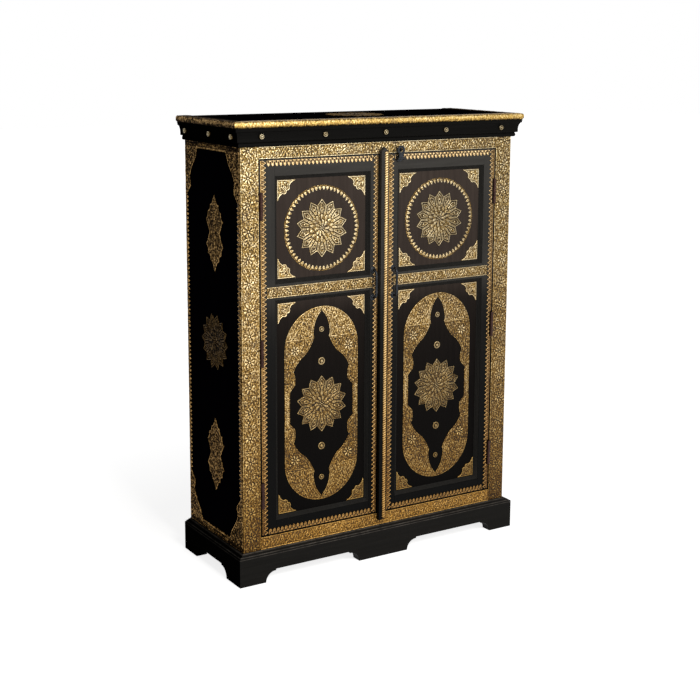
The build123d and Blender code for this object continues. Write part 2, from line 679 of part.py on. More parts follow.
# ---------------------------------------------------------------- hinges, made on the left
def make_hinges():
    pin_x = -open_half + hinge_in
    pin_y = front - hinge_out
    third = (hinge_h - 2 * knuckle_gap) / 3
    frame_leaves = []
    door_leaves = []
    pins = []
    for z in hinge_heights():
        z0 = z - hinge_h / 2
        outer = []
        edge = -open_half
        outer.append(block(edge, edge + hinge_leaf_t, front, front + hinge_leaf_w, z0, z0 + hinge_h))
        for low in (z0, z0 + 2 * (third + knuckle_gap)):
            outer.append(Pos(pin_x, pin_y, low + third / 2) * Cylinder(knuckle_r, third))
            outer.append(block(edge, edge + hinge_leaf_t, pin_y, front, low, low + third))
        bore = Pos(pin_x, pin_y, z) * Cylinder(pin_r, hinge_h + 2)
        frame_leaves.append(outer[0] + outer[1] + outer[2] + outer[3] + outer[4] - bore)
        low = z0 + third + knuckle_gap
        edge = -open_half + door_gap
        leaf = block(edge, edge + hinge_leaf_t, front, front + hinge_leaf_w, z0, z0 + hinge_h)
        leaf += block(edge, edge + hinge_leaf_t, pin_y + knuckle_r / 2, front, low, low + third)
        leaf += Pos(pin_x, pin_y, low + third / 2) * Cylinder(knuckle_r, third)
        leaf -= Pos(pin_x, pin_y, z) * Cylinder(pin_r + pin_play, hinge_h + 2)
        door_leaves.append(leaf)
        pins.append(Pos(pin_x, pin_y, z) * Cylinder(pin_r, hinge_h))
    nodes["hinge_frame_leaves"] = frame_leaves + mirrored(frame_leaves)
    nodes["hinge_pins"] = pins + mirrored(pins)
    nodes["left_door_hinge_leaves"] = door_leaves
    nodes["right_door_hinge_leaves"] = mirrored(door_leaves)


# ---------------------------------------------------------------- astragal on the right door
def make_astragal():
    z0 = open_bottom - astragal_end
    z1 = open_top + astragal_end
    y_back = front - frame_sheet_t - astragal_clear
    y_step = front - astragal_back_t
    y_face = front - astragal_t
    mid = (astragal_left + astragal_right) / 2
    rod_x = astragal_right - rod_margin - rod_r
    base = block(astragal_left, astragal_right, y_step, front, z0, z1)
    raised = block(astragal_left, astragal_left + astragal_face, y_face, y_step, z0, z1)
    wood = base + raised
    wood -= block(astragal_left - 1, astragal_right + 1, y_back, front + 1, z0 - 1, leaf_bottom)
    wood -= block(astragal_left - 1, astragal_right + 1, y_back, front + 1, leaf_top, z1 + 1)
    for x in (astragal_left - 0.5, astragal_right + 0.5):
        wedge = [(x, z1 - gable_h), (x, z1 + 1), (mid, z1 + 1), (mid, z1)]
        wood -= on_front(polygon(wedge), front + 1, astragal_t + 5)
    foot, head = z0 + rod_foot_rise, z1 - rod_top_drop
    rod = Pos(rod_x, y_step - rod_proud, (foot + head) / 2) * Cylinder(rod_r, head - foot)
    nodes["astragal"] = [wood - rod]
    nodes["astragal_rod"] = [rod]


# ---------------------------------------------------------------- hasp
def long_hole():
    """The long hole in the eye of the hasp, as a tool along its own Z."""
    end = Circle(hasp_hole_r)
    half = hasp_hole_long / 2
    hole = Rectangle(2 * hasp_hole_r, hasp_hole_long) + Pos(0, half) * end + Pos(0, -half) * end
    return extrude(hole, amount=hasp_t, both=True)


def make_hasp():
    z = open_top - hasp_pivot_drop
    y = front - hasp_pivot_out
    y_foot = front - sheet_t
    ear_x = hasp_w / 2 + hasp_play
    foot = Pos(hasp_x, y_foot - hasp_foot_t / 2, z) * Rot(90, 0, 0) * Cylinder(hasp_foot_r, hasp_foot_t)
    for way in (-1, 1):
        x0 = hasp_x + way * ear_x
        x1 = x0 + way * hasp_ear_w
        foot += block(x0, x1, y, y_foot, z - hasp_t, z + hasp_t)
        foot += Pos((x0 + x1) / 2, y, z) * Rot(0, 90, 0) * Cylinder(hasp_t, hasp_ear_w)
    foot += Pos(hasp_x, y, z) * Rot(0, 90, 0) * Cylinder(hasp_pin_r, 2 * ear_x + 1)
    nodes["hasp_foot"] = [foot]
    eye_z = z + hasp_reach
    strap = block(hasp_x - hasp_w / 2, hasp_x + hasp_w / 2, y - hasp_t / 2, y + hasp_t / 2, z, eye_z)
    strap += Pos(hasp_x, y, z) * Rot(0, 90, 0) * Cylinder(hasp_t * 0.9, hasp_w)
    half_long = hasp_hole_long / 2
    for way in (-1, 1):
        strap += Pos(hasp_x, y, eye_z + way * half_long) * Rot(90, 0, 0) * Cylinder(hasp_eye_r, hasp_t)
    strap += block(hasp_x - hasp_eye_r, hasp_x + hasp_eye_r, y - hasp_t / 2, y + hasp_t / 2,
                   eye_z - half_long, eye_z + half_long)
    strap -= Pos(hasp_x, y, eye_z) * Rot(90, 0, 0) * long_hole()
    strap -= Pos(hasp_x, y, z) * Rot(0, 90, 0) * Cylinder(hasp_pin_r + pin_play, hasp_w + 2)
    nodes["hasp"] = [strap]
    root = front - frame_sheet_t
    end = front - staple_out
    plate = Pos(hasp_x, root - staple_plate_t / 2, eye_z) * Rot(90, 0, 0) * Cylinder(staple_plate_r,
                                                                                    staple_plate_t)
    start = root - staple_plate_t / 2
    path = FilletPolyline((hasp_x - staple_half, start, eye_z), (hasp_x - staple_half, end, eye_z),
                          (hasp_x + staple_half, end, eye_z), (hasp_x + staple_half, start, eye_z),
                          radius=staple_half * 0.9)
    section = Plane(origin=(hasp_x - staple_half, start, eye_z), z_dir=(0, -1, 0)) * Circle(staple_wire_r)
    nodes["hasp_staple"] = [plate + sweep(section, path=path)]


# ---------------------------------------------------------------- the whole cabinet
def make_all():
    make_case()
    make_shelves()
    make_front_frame()
    make_plinth()
    make_cornice()
    make_top()
    make_side_brass()
    make_leaf("left_door", left_free_x, left_outer_stile, left_meet_stile, strip_edge,
              lambda shapes: shapes)
    make_leaf("right_door", -right_free_x, right_outer_stile, right_meet_stile, right_strip_in, mirrored)
    make_hinges()
    make_astragal()
    make_hasp()


make_all()
os.makedirs("parts", exist_ok=True)
for node, shapes in nodes.items():
    solids = [solid for shape in shapes for solid in shape.solids()]
    export_step(solids[0] if len(solids) == 1 else Compound(children=solids), f"parts/{node}.step")
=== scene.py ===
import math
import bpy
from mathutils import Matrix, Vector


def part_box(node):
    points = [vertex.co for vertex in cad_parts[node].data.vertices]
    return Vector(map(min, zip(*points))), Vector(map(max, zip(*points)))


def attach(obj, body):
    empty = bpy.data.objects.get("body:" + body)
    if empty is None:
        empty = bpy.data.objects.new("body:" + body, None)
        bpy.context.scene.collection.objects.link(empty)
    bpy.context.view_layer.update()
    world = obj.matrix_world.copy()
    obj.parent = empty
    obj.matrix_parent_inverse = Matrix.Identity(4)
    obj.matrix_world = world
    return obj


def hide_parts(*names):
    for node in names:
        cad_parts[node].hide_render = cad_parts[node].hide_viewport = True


bl_info = {
    "name": "Brass-Clad Cabinet",
    "version": (1, 0, 0),
    "blender": (4, 5, 0),
    "location": "View3D > Sidebar > Cabinet",
    "description": "Two-door cabinet of ebonised boards clad with embossed sheet brass",
    "category": "Add Mesh",
}

import bpy
import numpy as np
from mathutils import Euler, Vector
from mathutils.geometry import delaunay_2d_cdt

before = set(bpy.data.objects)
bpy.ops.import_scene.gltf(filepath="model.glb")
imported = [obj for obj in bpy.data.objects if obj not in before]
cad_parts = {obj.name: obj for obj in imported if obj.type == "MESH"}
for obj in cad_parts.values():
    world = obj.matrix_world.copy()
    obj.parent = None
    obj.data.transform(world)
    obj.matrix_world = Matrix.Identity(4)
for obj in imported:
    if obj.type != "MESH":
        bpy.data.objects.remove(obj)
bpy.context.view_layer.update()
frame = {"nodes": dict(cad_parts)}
MM = 0.001


def limits(node):
    """Lowest and highest corner of a CAD node, in millimetres."""
    low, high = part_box(node)
    return np.array(low) / MM, np.array(high) / MM


# ------------------------------------------------------------------ places and sizes, in millimetres
HALF_W = limits("frame_stile_right")[1][0]
FRONT = limits("frame_stile_left")[0][1]
BACK = limits("back_boards")[1][1]
Z_CASE = limits("front_frame_brass")[0][2]
Z_CORNICE = limits("front_frame_brass")[1][2]
OPEN_HALF = -limits("frame_stile_left")[1][0]
OPEN_BOTTOM = limits("frame_bottom_rail")[1][2]
OPEN_TOP = limits("frame_top_rail")[0][2]
LEAF_BOTTOM = limits("left_door_hinge_stile")[0][2]
LEAF_TOP = limits("left_door_hinge_stile")[1][2]
PANEL_FACE = limits("left_door_panels")[0][1]
MIDDLE_RAIL = (850.0, 897.0)       # heights of its edges
LOWER_PANEL = (limits("left_door_panels")[0][2], MIDDLE_RAIL[0])
UPPER_PANEL = (MIDDLE_RAIL[1], limits("left_door_panels")[1][2])
LOWER_MIDDLE = sum(LOWER_PANEL) / 2
TOP_Z = limits("top_board")[1][2]
SHEET = 0.9                        # plain thickness of the embossed sheets
DOOR_GAP = 2.0                     # between a door and the frame, on the hinge side
MOULDING = 11.5                    # width of the moulding round a panel
STRIP_EDGE = 3.3                   # bare wood outside the strips of a door
HINGE_STRIP, MEETING_STRIP = 19.4, 18.0        # widths of the upright strips
LEVEL_STRIP = 17.4                 # width of the strips at the top and the bottom
BAND_HALF = 16                     # half the height of the band on the middle rail
COVERED_HALF = 22                  # half the width of the rails that the astragal keeps flat
HINGE_Z = (265.0, 696.0, 1127.0)   # middles of the hinges
HINGE_HALF = 39.5                  # half the height of a hinge
PIN_IN, PIN_OUT = 5.5, 5.0         # hinge pin from the edge of the opening and from the front
KNUCKLE_R = 4.75
CORNICE_OUT = 26.0                 # how far the cornice stands out
CORNICE_STUD_R = 7.2
CORNICE_STUDS_X = (-425.0, -216.0, -6.5, 213.5, 427.0)
CORNICE_STUDS_BACK = (12.0, 153.5, 315.0)      # along the sides, from the front
PLATE_HALF_W, PLATE_HALF_H = 127.5, 300.5      # round-ended plate; the ring of drops is as wide
PANEL_STUDS = ((230.0, 8.4), (132.0, 11.6))    # height from the middle of the plate, and radius
CORNER = 62.0                      # arms of a corner piece
ROSETTE_R, SIDE_ROSETTE_R, TOP_ROSETTE_R = 88.0, 86.0, 92.0
ROSETTE_LOWERED = 4.5              # upper rosette and ring below the middle of their panel
SIDE_ROSETTE_AT = (8.0, 9.0)       # forward of the middle of a side, and above it
PETALS = 14
VALLEY = 0.795                     # radius between two petals, as a share of the whole
CARTOUCHES = ((-341.0, 6.0), (337.0, 16.0))    # height from the middle of a side, and forward of it
HASP_WIDER = 1.18


class Door:
    """Places across one door."""

    def __init__(self, name, side):
        self.name = name
        self.side = side
        low, high = limits(name + "_panels")
        self.panel = (low[0], high[0])
        self.middle = (low[0] + high[0]) / 2
        low, high = limits(name + "_edge_brass")
        self.brass = (low[0], high[0])
        self.hinge = side * (OPEN_HALF - DOOR_GAP)


DOORS = (Door("left_door", -1), Door("right_door", 1))


# ------------------------------------------------------------------ settings
class WoodSettings(bpy.types.PropertyGroup):
    """Colours of the boards."""

    frame: bpy.props.FloatVectorProperty(
        name="Frame", description="Ebonised boards of the case and the doors", subtype="COLOR", size=3,
        min=0, max=1, default=(0.0150, 0.0141, 0.0128))
    panel: bpy.props.FloatVectorProperty(
        name="Panels", description="Red-brown fields of the door panels", subtype="COLOR", size=3,
        min=0, max=1, default=(0.0168, 0.0126, 0.0104))
    # Painted shade: the side colour is far darker than the frame's, for the sides of the case and the top board.
    side: bpy.props.FloatVectorProperty(
        name="Sides", description="Near-black side boards", subtype="COLOR", size=3,
        min=0, max=1, default=(0.0016, 0.0012, 0.0022))
    # Edge colour: rubbed wood along the rounded edges, paler as painted highlights too; it also tints the spots of
    # wear.
    worn: bpy.props.FloatVectorProperty(
        name="Worn edges", description="Wood that shows where the black is rubbed off", subtype="COLOR",
        size=3, min=0, max=1, default=(0.058, 0.051, 0.044))
    inside: bpy.props.FloatVectorProperty(
        name="Inside", description="Oiled boards inside and behind", subtype="COLOR", size=3,
        min=0, max=1, default=(0.120, 0.068, 0.036))
    edge: bpy.props.FloatProperty(
        name="Edge", description="Width of the rubbed edge of a board", subtype="DISTANCE", unit="LENGTH",
        min=0.0002, max=0.004, default=0.0011)


class BrassSettings(bpy.types.PropertyGroup):
    """Colours and fineness of the embossed sheets."""

    # Crest colour: rubbed brass on the tops of the relief, pale enough to stand for painted highlights too.
    crest: bpy.props.FloatVectorProperty(
        name="Crests", description="Rubbed tops of the relief", subtype="COLOR", size=3,
        min=0, max=1, default=(0.92, 0.785, 0.50))
    field: bpy.props.FloatVectorProperty(
        name="Field", description="Flat parts of the sheets", subtype="COLOR", size=3,
        min=0, max=1, default=(0.205, 0.118, 0.027))
    recess: bpy.props.FloatVectorProperty(
        name="Recesses", description="Blackened hollows of the relief", subtype="COLOR", size=3,
        min=0, max=1, default=(0.008, 0.0050, 0.0025))
    pitch: bpy.props.FloatProperty(
        name="Pitch", description="Spacing of the mesh over the relief", subtype="DISTANCE", unit="LENGTH",
        min=0.0006, max=0.004, default=0.0012)
    height: bpy.props.FloatProperty(
        name="Relief", description="Height of the relief as a share of its full height", min=0.1, max=2.0,
        default=1.0)


class StageSettings(bpy.types.PropertyGroup):
    """Floor, lamps and camera."""

    floor: bpy.props.FloatVectorProperty(
        name="Floor", description="Colour of the floor and the backdrop", subtype="COLOR", size=3,
        min=0, max=1, default=(1.0, 1.0, 1.0))
    key: bpy.props.FloatProperty(
        name="Key lamp", description="Power of the large lamp above and in front", unit="POWER",
        min=0, max=2000, default=52.0)
    sky: bpy.props.FloatProperty(
        name="Sky", description="Strength of the even light from all round", min=0, max=2, default=0.16)
    lens: bpy.props.FloatProperty(
        name="Lens", description="Focal length of the camera on a 36 mm sensor", min=20, max=200,
        default=69.056)


def wood():
    return bpy.context.scene.cabinet_wood


def brass():
    return bpy.context.scene.cabinet_brass


# ------------------------------------------------------------------ materials
class Graph:
    """A node material and short ways to add to it."""

    def __init__(self, name):
        self.material = bpy.data.materials.new(name)
        self.material.use_nodes = True
        self.tree = self.material.node_tree
        self.tree.nodes.clear()
        self.out = self.tree.nodes.new("ShaderNodeOutputMaterial")

    def node(self, kind, settings=None, **inputs):
        """A node with its settings and its inputs, which are named or numbered as i0."""
        made = self.tree.nodes.new("ShaderNode" + kind)
        for key, value in (settings or {}).items():
            setattr(made, key, value)
        for key, value in inputs.items():
            self.put(made, key, value)
        return made

    def put(self, made, key, value):
        socket = made.inputs[int(key[1:])] if key[0] == "i" and key[1:].isdigit() else made.inputs[key]
        if isinstance(value, bpy.types.NodeSocket):
            self.tree.links.new(value, socket)
        elif isinstance(value, tuple) and len(value) == 3 and socket.type == "RGBA":
            socket.default_value = (*value, 1.0)
        else:
            socket.default_value = value

    def coords(self, scale=(1.0, 1.0, 1.0)):
        where = self.node("TexCoord").outputs["Object"]
        return self.node("Mapping", Vector=where, Scale=scale).outputs[0]

    def noise(self, vector, scale, detail=4.0, rough=0.55, distortion=0.0):
        made = self.node("TexNoise", Vector=vector, Scale=scale, Detail=detail, Roughness=rough,
                         Distortion=distortion)
        return made.outputs["Fac"]

    def spread(self, value, low, high, from_low=0.3, from_high=0.7):
        """The range from_low to from_high stretched to low to high."""
        made = self.node("MapRange", Value=value, i1=from_low, i2=from_high, i3=low, i4=high)
        return made.outputs[0]

    def math(self, operation, a, b):
        return self.node("Math", {"operation": operation}, i0=a, i1=b).outputs[0]

    def mix(self, factor, a, b, blend="MIX"):
        made = self.node("Mix", {"data_type": "RGBA", "blend_type": blend})
        self.put(made, "i0", factor)
        self.put(made, "i6", a)
        self.put(made, "i7", b)
        return made.outputs[2]

    def ramp(self, value, stops):
        made = self.node("ValToRGB", Fac=value)
        bar = made.color_ramp
        while len(bar.elements) < len(stops):
            bar.elements.new(0.5)
        for element, (at, colour) in zip(bar.elements, stops):
            element.position = at
            element.color = (*colour, 1.0)
        return made.outputs[0]

    def bump(self, height, strength, distance, normal=None):
        made = self.node("Bump", Height=height, Strength=strength, Distance=distance)
        if normal is not None:
            self.put(made, "Normal", normal)
        return made.outputs[0]

    def finish(self, **inputs):
        shader = self.node("BsdfPrincipled")
        for key, value in inputs.items():
            self.put(shader, key.replace("_", " "), value)
        self.tree.links.new(shader.outputs[0], self.out.inputs[0])
        return self.material


def made_once(build):
    """Keeps a material under the arguments it was made with."""
    def kept(*args):
        key = (build.__name__,) + args
        if key not in made_once.store:
            made_once.store[key] = build(*args)
        return made_once.store[key]
    return kept


made_once.store = {}


def grey_stops(*stops):
    return tuple((at, (k,) * 3) for at, k in stops)


# Painted light and shade by height on the boards and the mouldings of the doors: how light they are, from low to
# high.
PAINTED_LIGHT_BY_HEIGHT = grey_stops((0.0, 0.08), (0.30, 0.19), (0.50, 0.50), (0.58, 0.85), (0.635, 2.3), (0.67, 2.8), (0.73, 2.3),
                  (1.0, 3.1))
MOULD = grey_stops((0.0, 1.35), (0.055, 1.25), (0.10, 0.8), (0.55, 0.9), (0.64, 1.2), (1.0, 1.2))
PLINTH_WEAR_AND_SHEEN_LINES = (0.0965, 0.0905, 0.0850)    # heights of the pale lines on the steps, rubbed wood with painted highlights, in metres
# Kinds of wood: the colour it comes from, a share of that, its shine and how strong its spots of wear are. The
# near-black kinds for the sides and for the end boards of the plinth and the cornice are painted shade, and the pale
# kinds for the edges are rubbed wood that also carries painted highlights.
WOODS = {"frame": ("frame", 1.0, 0.05, 1.0), "panel": ("panel", 1.0, 0.03, 1.0), "side": ("side", 1.0, 0.0, 0.25),
         "worn": ("worn", 1.0, 0.10, 1.0), "rubbed": ("worn", 1.1, 0.05, 1.0), "inside": ("inside", 1.0, 0.30, 1.0),
         "dark": ("frame", 0.36, 0.02, 0.5), "sooty": ("frame", 0.12, 0.0, 0.3), "base": ("frame", 0.85, 0.03, 1.0),
         "mould": ("frame", 1.0, 0.03, 1.0)}
GRAIN = {"x": (0.06, 1.0, 1.0), "y": (1.0, 0.06, 1.0), "z": (1.0, 1.0, 0.06)}


@made_once
def wood_finish(kind, grain):
    """Stained and rubbed wood with its grain along one axis."""
    g = Graph(f"{kind}_wood_{grain}")
    source, share, shine, wear = WOODS[kind]
    base = tuple(share * c for c in getattr(wood(), source))
    open_grain = kind == "inside"
    along = g.coords(GRAIN[grain])
    plain = g.coords()
    height = g.node("SeparateXYZ", Vector=plain).outputs["Z"]
    streak = g.noise(along, 95.0, 6.0, 0.62, 0.25)
    pores = g.noise(along, 420.0, 3.0, 0.7)
    cloud = g.noise(plain, 5.5, 5.0, 0.6, 0.4)
    light = tuple(min(1.0, c * (2.1 if open_grain else 1.35)) for c in base)
    dark = tuple(c * (0.55 if open_grain else 0.75) for c in base)
    colour = g.mix(g.spread(streak, 0.0, 1.0, 0.34, 0.72), dark, light)
    colour = g.mix(g.spread(cloud, 0.15, 0.75), colour, base)
    rub = g.noise(plain, 26.0, 7.0, 0.7, 0.8)
    rubbed = tuple(c * wear for c in wood().worn)
    colour = g.mix(g.spread(rub, 0.0, 0.10, 0.60, 0.80), colour, rubbed)
    # Painted light and shade by height on the frame, panel and moulding boards.
    if kind in ("frame", "panel", "mould"):
        height_light = g.ramp(g.spread(height, 0.0, 1.0, 0.14, 1.26), MOULD if kind == "mould" else PAINTED_LIGHT_BY_HEIGHT)
        colour = g.mix(1.0, colour, height_light, "MULTIPLY")
    # Pale lines on the steps of the plinth: rubbed wood with painted highlights; the end boards get fainter ones.
    if kind in ("base", "sooty"):
        pale = tuple(c * (2.4 if kind == "base" else 1.0) for c in wood().worn)
        for z in PLINTH_WEAR_AND_SHEEN_LINES:
            off = g.math("ABSOLUTE", g.math("SUBTRACT", height, z), 0.0)
            line = g.math("MULTIPLY", g.spread(off, 0.75, 0.0, 0.0004, 0.0014), g.spread(rub, 0.3, 1.0, 0.40, 0.60))
            colour = g.mix(line, colour, pale)
    rough = g.math("ADD", g.spread(cloud, 0.34, 0.50), g.spread(pores, 0.0, 0.16))
    normal = g.bump(streak, 0.30, 0.0005)
    normal = g.bump(pores, 0.35, 0.0002, normal)
    normal = g.bump(g.noise(plain, 14.0, 3.0), 0.25, 0.0016, normal)
    return g.finish(Base_Color=colour, Roughness=rough, Normal=normal, Specular_IOR_Level=shine)


# Kinds of brass, where they differ from the settings: antique is the common one, side the dark sheets of the sides
# and the top, their darkness painted shade, rose the ruddier cut strips and burnished the rubbed edge of the top and
# the foot of the front.
BRASSES = {"antique": {},
           "side": {"crest": (0.80, 0.50, 0.190), "gold": (0.29, 0.165, 0.050), "field": (0.045, 0.025, 0.009),
                    "recess": (0.0006, 0.0004, 0.0003)},
           "rose": {"crest": (0.90, 0.67, 0.36), "gold": (0.53, 0.33, 0.105), "field": (0.17, 0.092, 0.027)},
           "burnished": {"crest": (0.88, 0.66, 0.30), "gold": (0.56, 0.36, 0.085), "field": (0.34, 0.20, 0.045)}}
LIVELY = {"antique": 0.27, "side": 0.22, "rose": 0.12, "burnished": 0.20}    # how much the tone is broken up
# Painted light and shade over the brass of the front: darker from left to right and from high to low.
PAINTED_LIGHT_ACROSS = ((0.0, (1.0,) * 3), (0.28, (1.0,) * 3), (0.72, (0.80, 0.79, 0.78)), (1.0, (0.70, 0.69, 0.67)))
PAINTED_LIGHT_DOWN = ((0.0, (0.47, 0.42, 0.27)), (0.09, (0.58, 0.53, 0.36)), (0.19, (0.76, 0.73, 0.60)),
        (0.36, (0.87, 0.86, 0.80)), (0.60, (0.98, 0.98, 0.98)), (1.0, (0.97, 0.98, 1.0)))


@made_once
def brass_finish(kind, level=1.0):
    """Aged sheet brass. The attribute tone is 0 in the hollows and 1 on the crests, and level darkens a piece, which
    on the sides, the top and the rosettes is painted shade.
    """
    shaded_side = kind == "side"
    g = Graph(f"{kind}_brass_{round(100 * level)}")
    shades = {"crest": tuple(brass().crest), "gold": (0.47, 0.305, 0.078), "field": tuple(brass().field),
              "recess": tuple(brass().recess), **BRASSES[kind]}
    crest, gold, field = (tuple(min(1.0, level * k) for k in shades[name]) for name in ("crest", "gold", "field"))
    recess = shades["recess"]
    tone = g.node("Attribute", {"attribute_name": "tone"}).outputs["Fac"]
    plain = g.coords((1.0, 0.5, 1.0) if shaded_side else (1.0, 1.0, 1.0))
    where = g.node("SeparateXYZ", Vector=g.node("TexCoord").outputs["Object"]).outputs
    spots = g.noise(plain, 230.0 if shaded_side else 330.0, 5.0, 0.65)
    grains = g.noise(plain, 140.0 if shaded_side else 185.0, 2.0, 0.6)
    clouds = g.noise(plain, 9.0, 4.0, 0.6, 0.5)
    lively = LIVELY[kind]
    spotted = g.math("ADD", g.spread(spots, -lively, lively, 0.36, 0.64),
                     g.spread(grains, -lively, lively, 0.36, 0.64))
    plainness = g.math("ABSOLUTE", g.math("SUBTRACT", tone, 0.52), 0.0)
    spotted = g.math("MULTIPLY", spotted, g.spread(plainness, 1.0, 0.22, 0.22, 0.46))
    aged = g.math("ADD", g.math("ADD", tone, spotted), g.spread(clouds, -0.09, 0.09))
    half = tuple(0.42 * a + 0.58 * b for a, b in zip(field, recess))
    colour = g.ramp(aged, ((0.05, recess), (0.28, half), (0.48, field), (0.72, gold), (0.97, crest)))
    # Grey patches over the brass: painted reflection of the sky.
    sky_patches = g.noise(plain, 31.0, 3.0, 0.5, 0.6)
    grey = tuple(0.45 * a + 0.55 * b * level for a, b in zip(field, (0.19, 0.175, 0.165)))
    if not shaded_side:
        colour = g.mix(g.spread(sky_patches, 0.0, 0.34, 0.50, 0.72), colour, grey)
    # Painted light by height: the colour is darker and more golden lower down.
    low = (0.85, 0.80, 0.72) if shaded_side else (0.74, 0.58, 0.36)
    colour = g.mix(1.0, colour, g.mix(g.spread(where["Z"], 0.0, 1.0, 0.10, 1.20), low, (1.0, 1.0, 1.0)), "MULTIPLY")
    # Painted light and shade over the front, from left to right and from high to low; the rose kind takes a weaker
    # share of the fall from high to low.
    if kind not in ("side", "burnished"):
        across = g.ramp(g.spread(where["X"], 0.0, 1.0, -0.50, 0.50), PAINTED_LIGHT_ACROSS)
        down = g.ramp(g.spread(where["Z"], 0.0, 1.0, 0.10, 1.25), PAINTED_LIGHT_DOWN)
        if kind == "rose":
            down = g.mix(0.55, down, (0.94, 0.92, 0.88))
        colour = g.mix(1.0, g.mix(1.0, colour, across, "MULTIPLY"), down, "MULTIPLY")
    rough = g.math("ADD", g.spread(aged, 0.60, 0.34, 0.2, 0.9), g.spread(spots, -0.05, 0.08))
    metal = g.spread(aged, 0.05, 0.30, 0.1, 0.9) if shaded_side else g.spread(aged, 0.15, 0.70, 0.1, 0.7)
    normal = g.bump(g.noise(plain, 520.0, 4.0, 0.7), 0.35, 0.00025)
    normal = g.bump(g.noise(plain, 120.0, 2.0), 0.30, 0.0007, normal)
    return g.finish(Base_Color=colour, Roughness=rough, Metallic=metal, Normal=normal,
                    Specular_IOR_Level=0.0 if shaded_side else 0.25)


@made_once
def iron_finish(kind):
    """Forged iron, blackened on the pulls and the hasp and brown on the hinges."""
    g = Graph(f"{kind}_iron")
    base = {"black": (0.020, 0.023, 0.027), "brown": (0.034, 0.015, 0.012)}[kind]
    plain = g.coords()
    cloud = g.noise(plain, 60.0, 5.0, 0.6)
    fine = g.noise(plain, 480.0, 4.0, 0.7)
    rust = tuple(min(1.0, c * 1.9 + k) for c, k in zip(base, (0.012, 0.006, 0.003)))
    colour = g.mix(g.spread(cloud, 0.0, 0.6, 0.45, 0.75), base, rust)
    rough = g.spread(cloud, 0.20, 0.42)
    normal = g.bump(cloud, 0.45, 0.0008)
    normal = g.bump(fine, 0.30, 0.0002, normal)
    return g.finish(Base_Color=colour, Roughness=rough, Metallic=0.8, Normal=normal, Specular_IOR_Level=0.4)


# ------------------------------------------------------------------ objects
def pick(obj):
    """Only this object is selected and active."""
    bpy.ops.object.select_all(action="DESELECT")
    obj.select_set(True)
    bpy.context.view_layer.objects.active = obj


def settle(obj, body, node, materials):
    """Gives a finished piece its materials, its body and the CAD node it stands for."""
    obj.data.materials.clear()
    for material in materials:
        obj.data.materials.append(material)
    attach(obj, body)
    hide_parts(node)


def modifier(obj, kind, **values):
    """Adds a modifier and applies it."""
    pick(obj)
    bpy.ops.object.modifier_add(type=kind)
    made = obj.modifiers[-1]
    for key, value in values.items():
        setattr(made, key, value)
    bpy.ops.object.modifier_apply(modifier=made.name)


def smooth(obj, degrees):
    """Smooth shading, with edges over the angle left sharp."""
    pick(obj)
    bpy.ops.object.shade_smooth_by_angle(angle=math.radians(degrees))


def mesh_object(name, points, faces, degrees):
    """A mesh object from points in millimetres."""
    mesh = bpy.data.meshes.new(name)
    mesh.from_pydata((np.asarray(points, float) * MM).tolist(), [], faces)
    mesh.validate()
    obj = bpy.data.objects.new(name, mesh)
    bpy.context.scene.collection.objects.link(obj)
    smooth(obj, degrees)
    return obj


def joined(name, objects):
    """One object from several."""
    bpy.ops.object.select_all(action="DESELECT")
    for obj in objects:
        obj.select_set(True)
    bpy.context.view_layer.objects.active = objects[0]
    if len(objects) > 1:
        bpy.ops.object.join()
    made = bpy.context.view_layer.objects.active
    made.name = name
    return made


def soften(obj, width, degrees):
    """Rounds the edges, marks the rounding with the second material and evens the shading."""
    modifier(obj, "BEVEL", width=width, segments=2, limit_method="ANGLE",
             angle_limit=math.radians(degrees), material=1, harden_normals=False, use_clamp_overlap=True)
    smooth(obj, 50)
    modifier(obj, "WEIGHTED_NORMAL", keep_sharp=True)


def copy_of(node, name, width=None, degrees=30):
    """A softened copy of a CAD node."""
    obj = bpy.data.objects.new(name, frame["nodes"][node].data.copy())
    bpy.context.scene.collection.objects.link(obj)
    obj.data.materials.clear()
    for _ in range(2):
        obj.data.materials.append(None)
    pick(obj)
    bpy.ops.object.mode_set(mode="EDIT")
    bpy.ops.mesh.select_all(action="SELECT")
    bpy.ops.mesh.remove_doubles(threshold=0.00001)
    bpy.ops.mesh.dissolve_limited(angle_limit=math.radians(0.5))
    bpy.ops.object.mode_set(mode="OBJECT")
    obj.data.polygons.foreach_set("material_index", [0] * len(obj.data.polygons))
    soften(obj, wood().edge if width is None else width, degrees)
    return obj


def ring_faces(rows, around):
    """Faces over rows of points round a bar, with both ends closed."""
    faces = [(i * around + k, i * around + (k + 1) % around, (i + 1) * around + (k + 1) % around,
              (i + 1) * around + k) for i in range(rows - 1) for k in range(around)]
    faces.append(tuple(range(around))[::-1])
    faces.append(tuple((rows - 1) * around + k for k in range(around)))
    return faces


def board(node, name, body, kind, grain, edge=None, slot="black_wood", **rounding):
    """A CAD board in its finish, with softened edges that may have another."""
    piece = copy_of(node, name, **rounding)
    settle(piece, body, node, (wood_finish(kind, grain), wood_finish(edge or kind, grain)))


def gild(piece, body, node, *finish, slot="antique_brass"):
    """Settles a piece of brass."""
    settle(piece, body, node, (brass_finish(*finish),))


def lathe(name, profile, segments, place, turn=(0, 0, 0), degrees=40):
    """A turned piece: profile is (radius, height) from one end to the other, closed on the axis."""
    points = []
    angle = np.arange(segments) * 2 * math.pi / segments
    for r, z in profile:
        points += [(r * math.cos(a), r * math.sin(a), z) for a in angle]
    matrix = np.array(Euler([math.radians(t) for t in turn]).to_matrix())
    points = np.array(points) @ matrix.T + np.array(place)
    return mesh_object(name, points, ring_faces(len(profile), segments), degrees)


def give_tone(obj, value):
    """The tone of a piece that has no relief of its own."""
    attribute = obj.data.attributes.get("tone") or obj.data.attributes.new("tone", "FLOAT", "POINT")
    values = np.broadcast_to(np.asarray(value, np.float32), len(obj.data.vertices))
    attribute.data.foreach_set("value", np.ascontiguousarray(values))


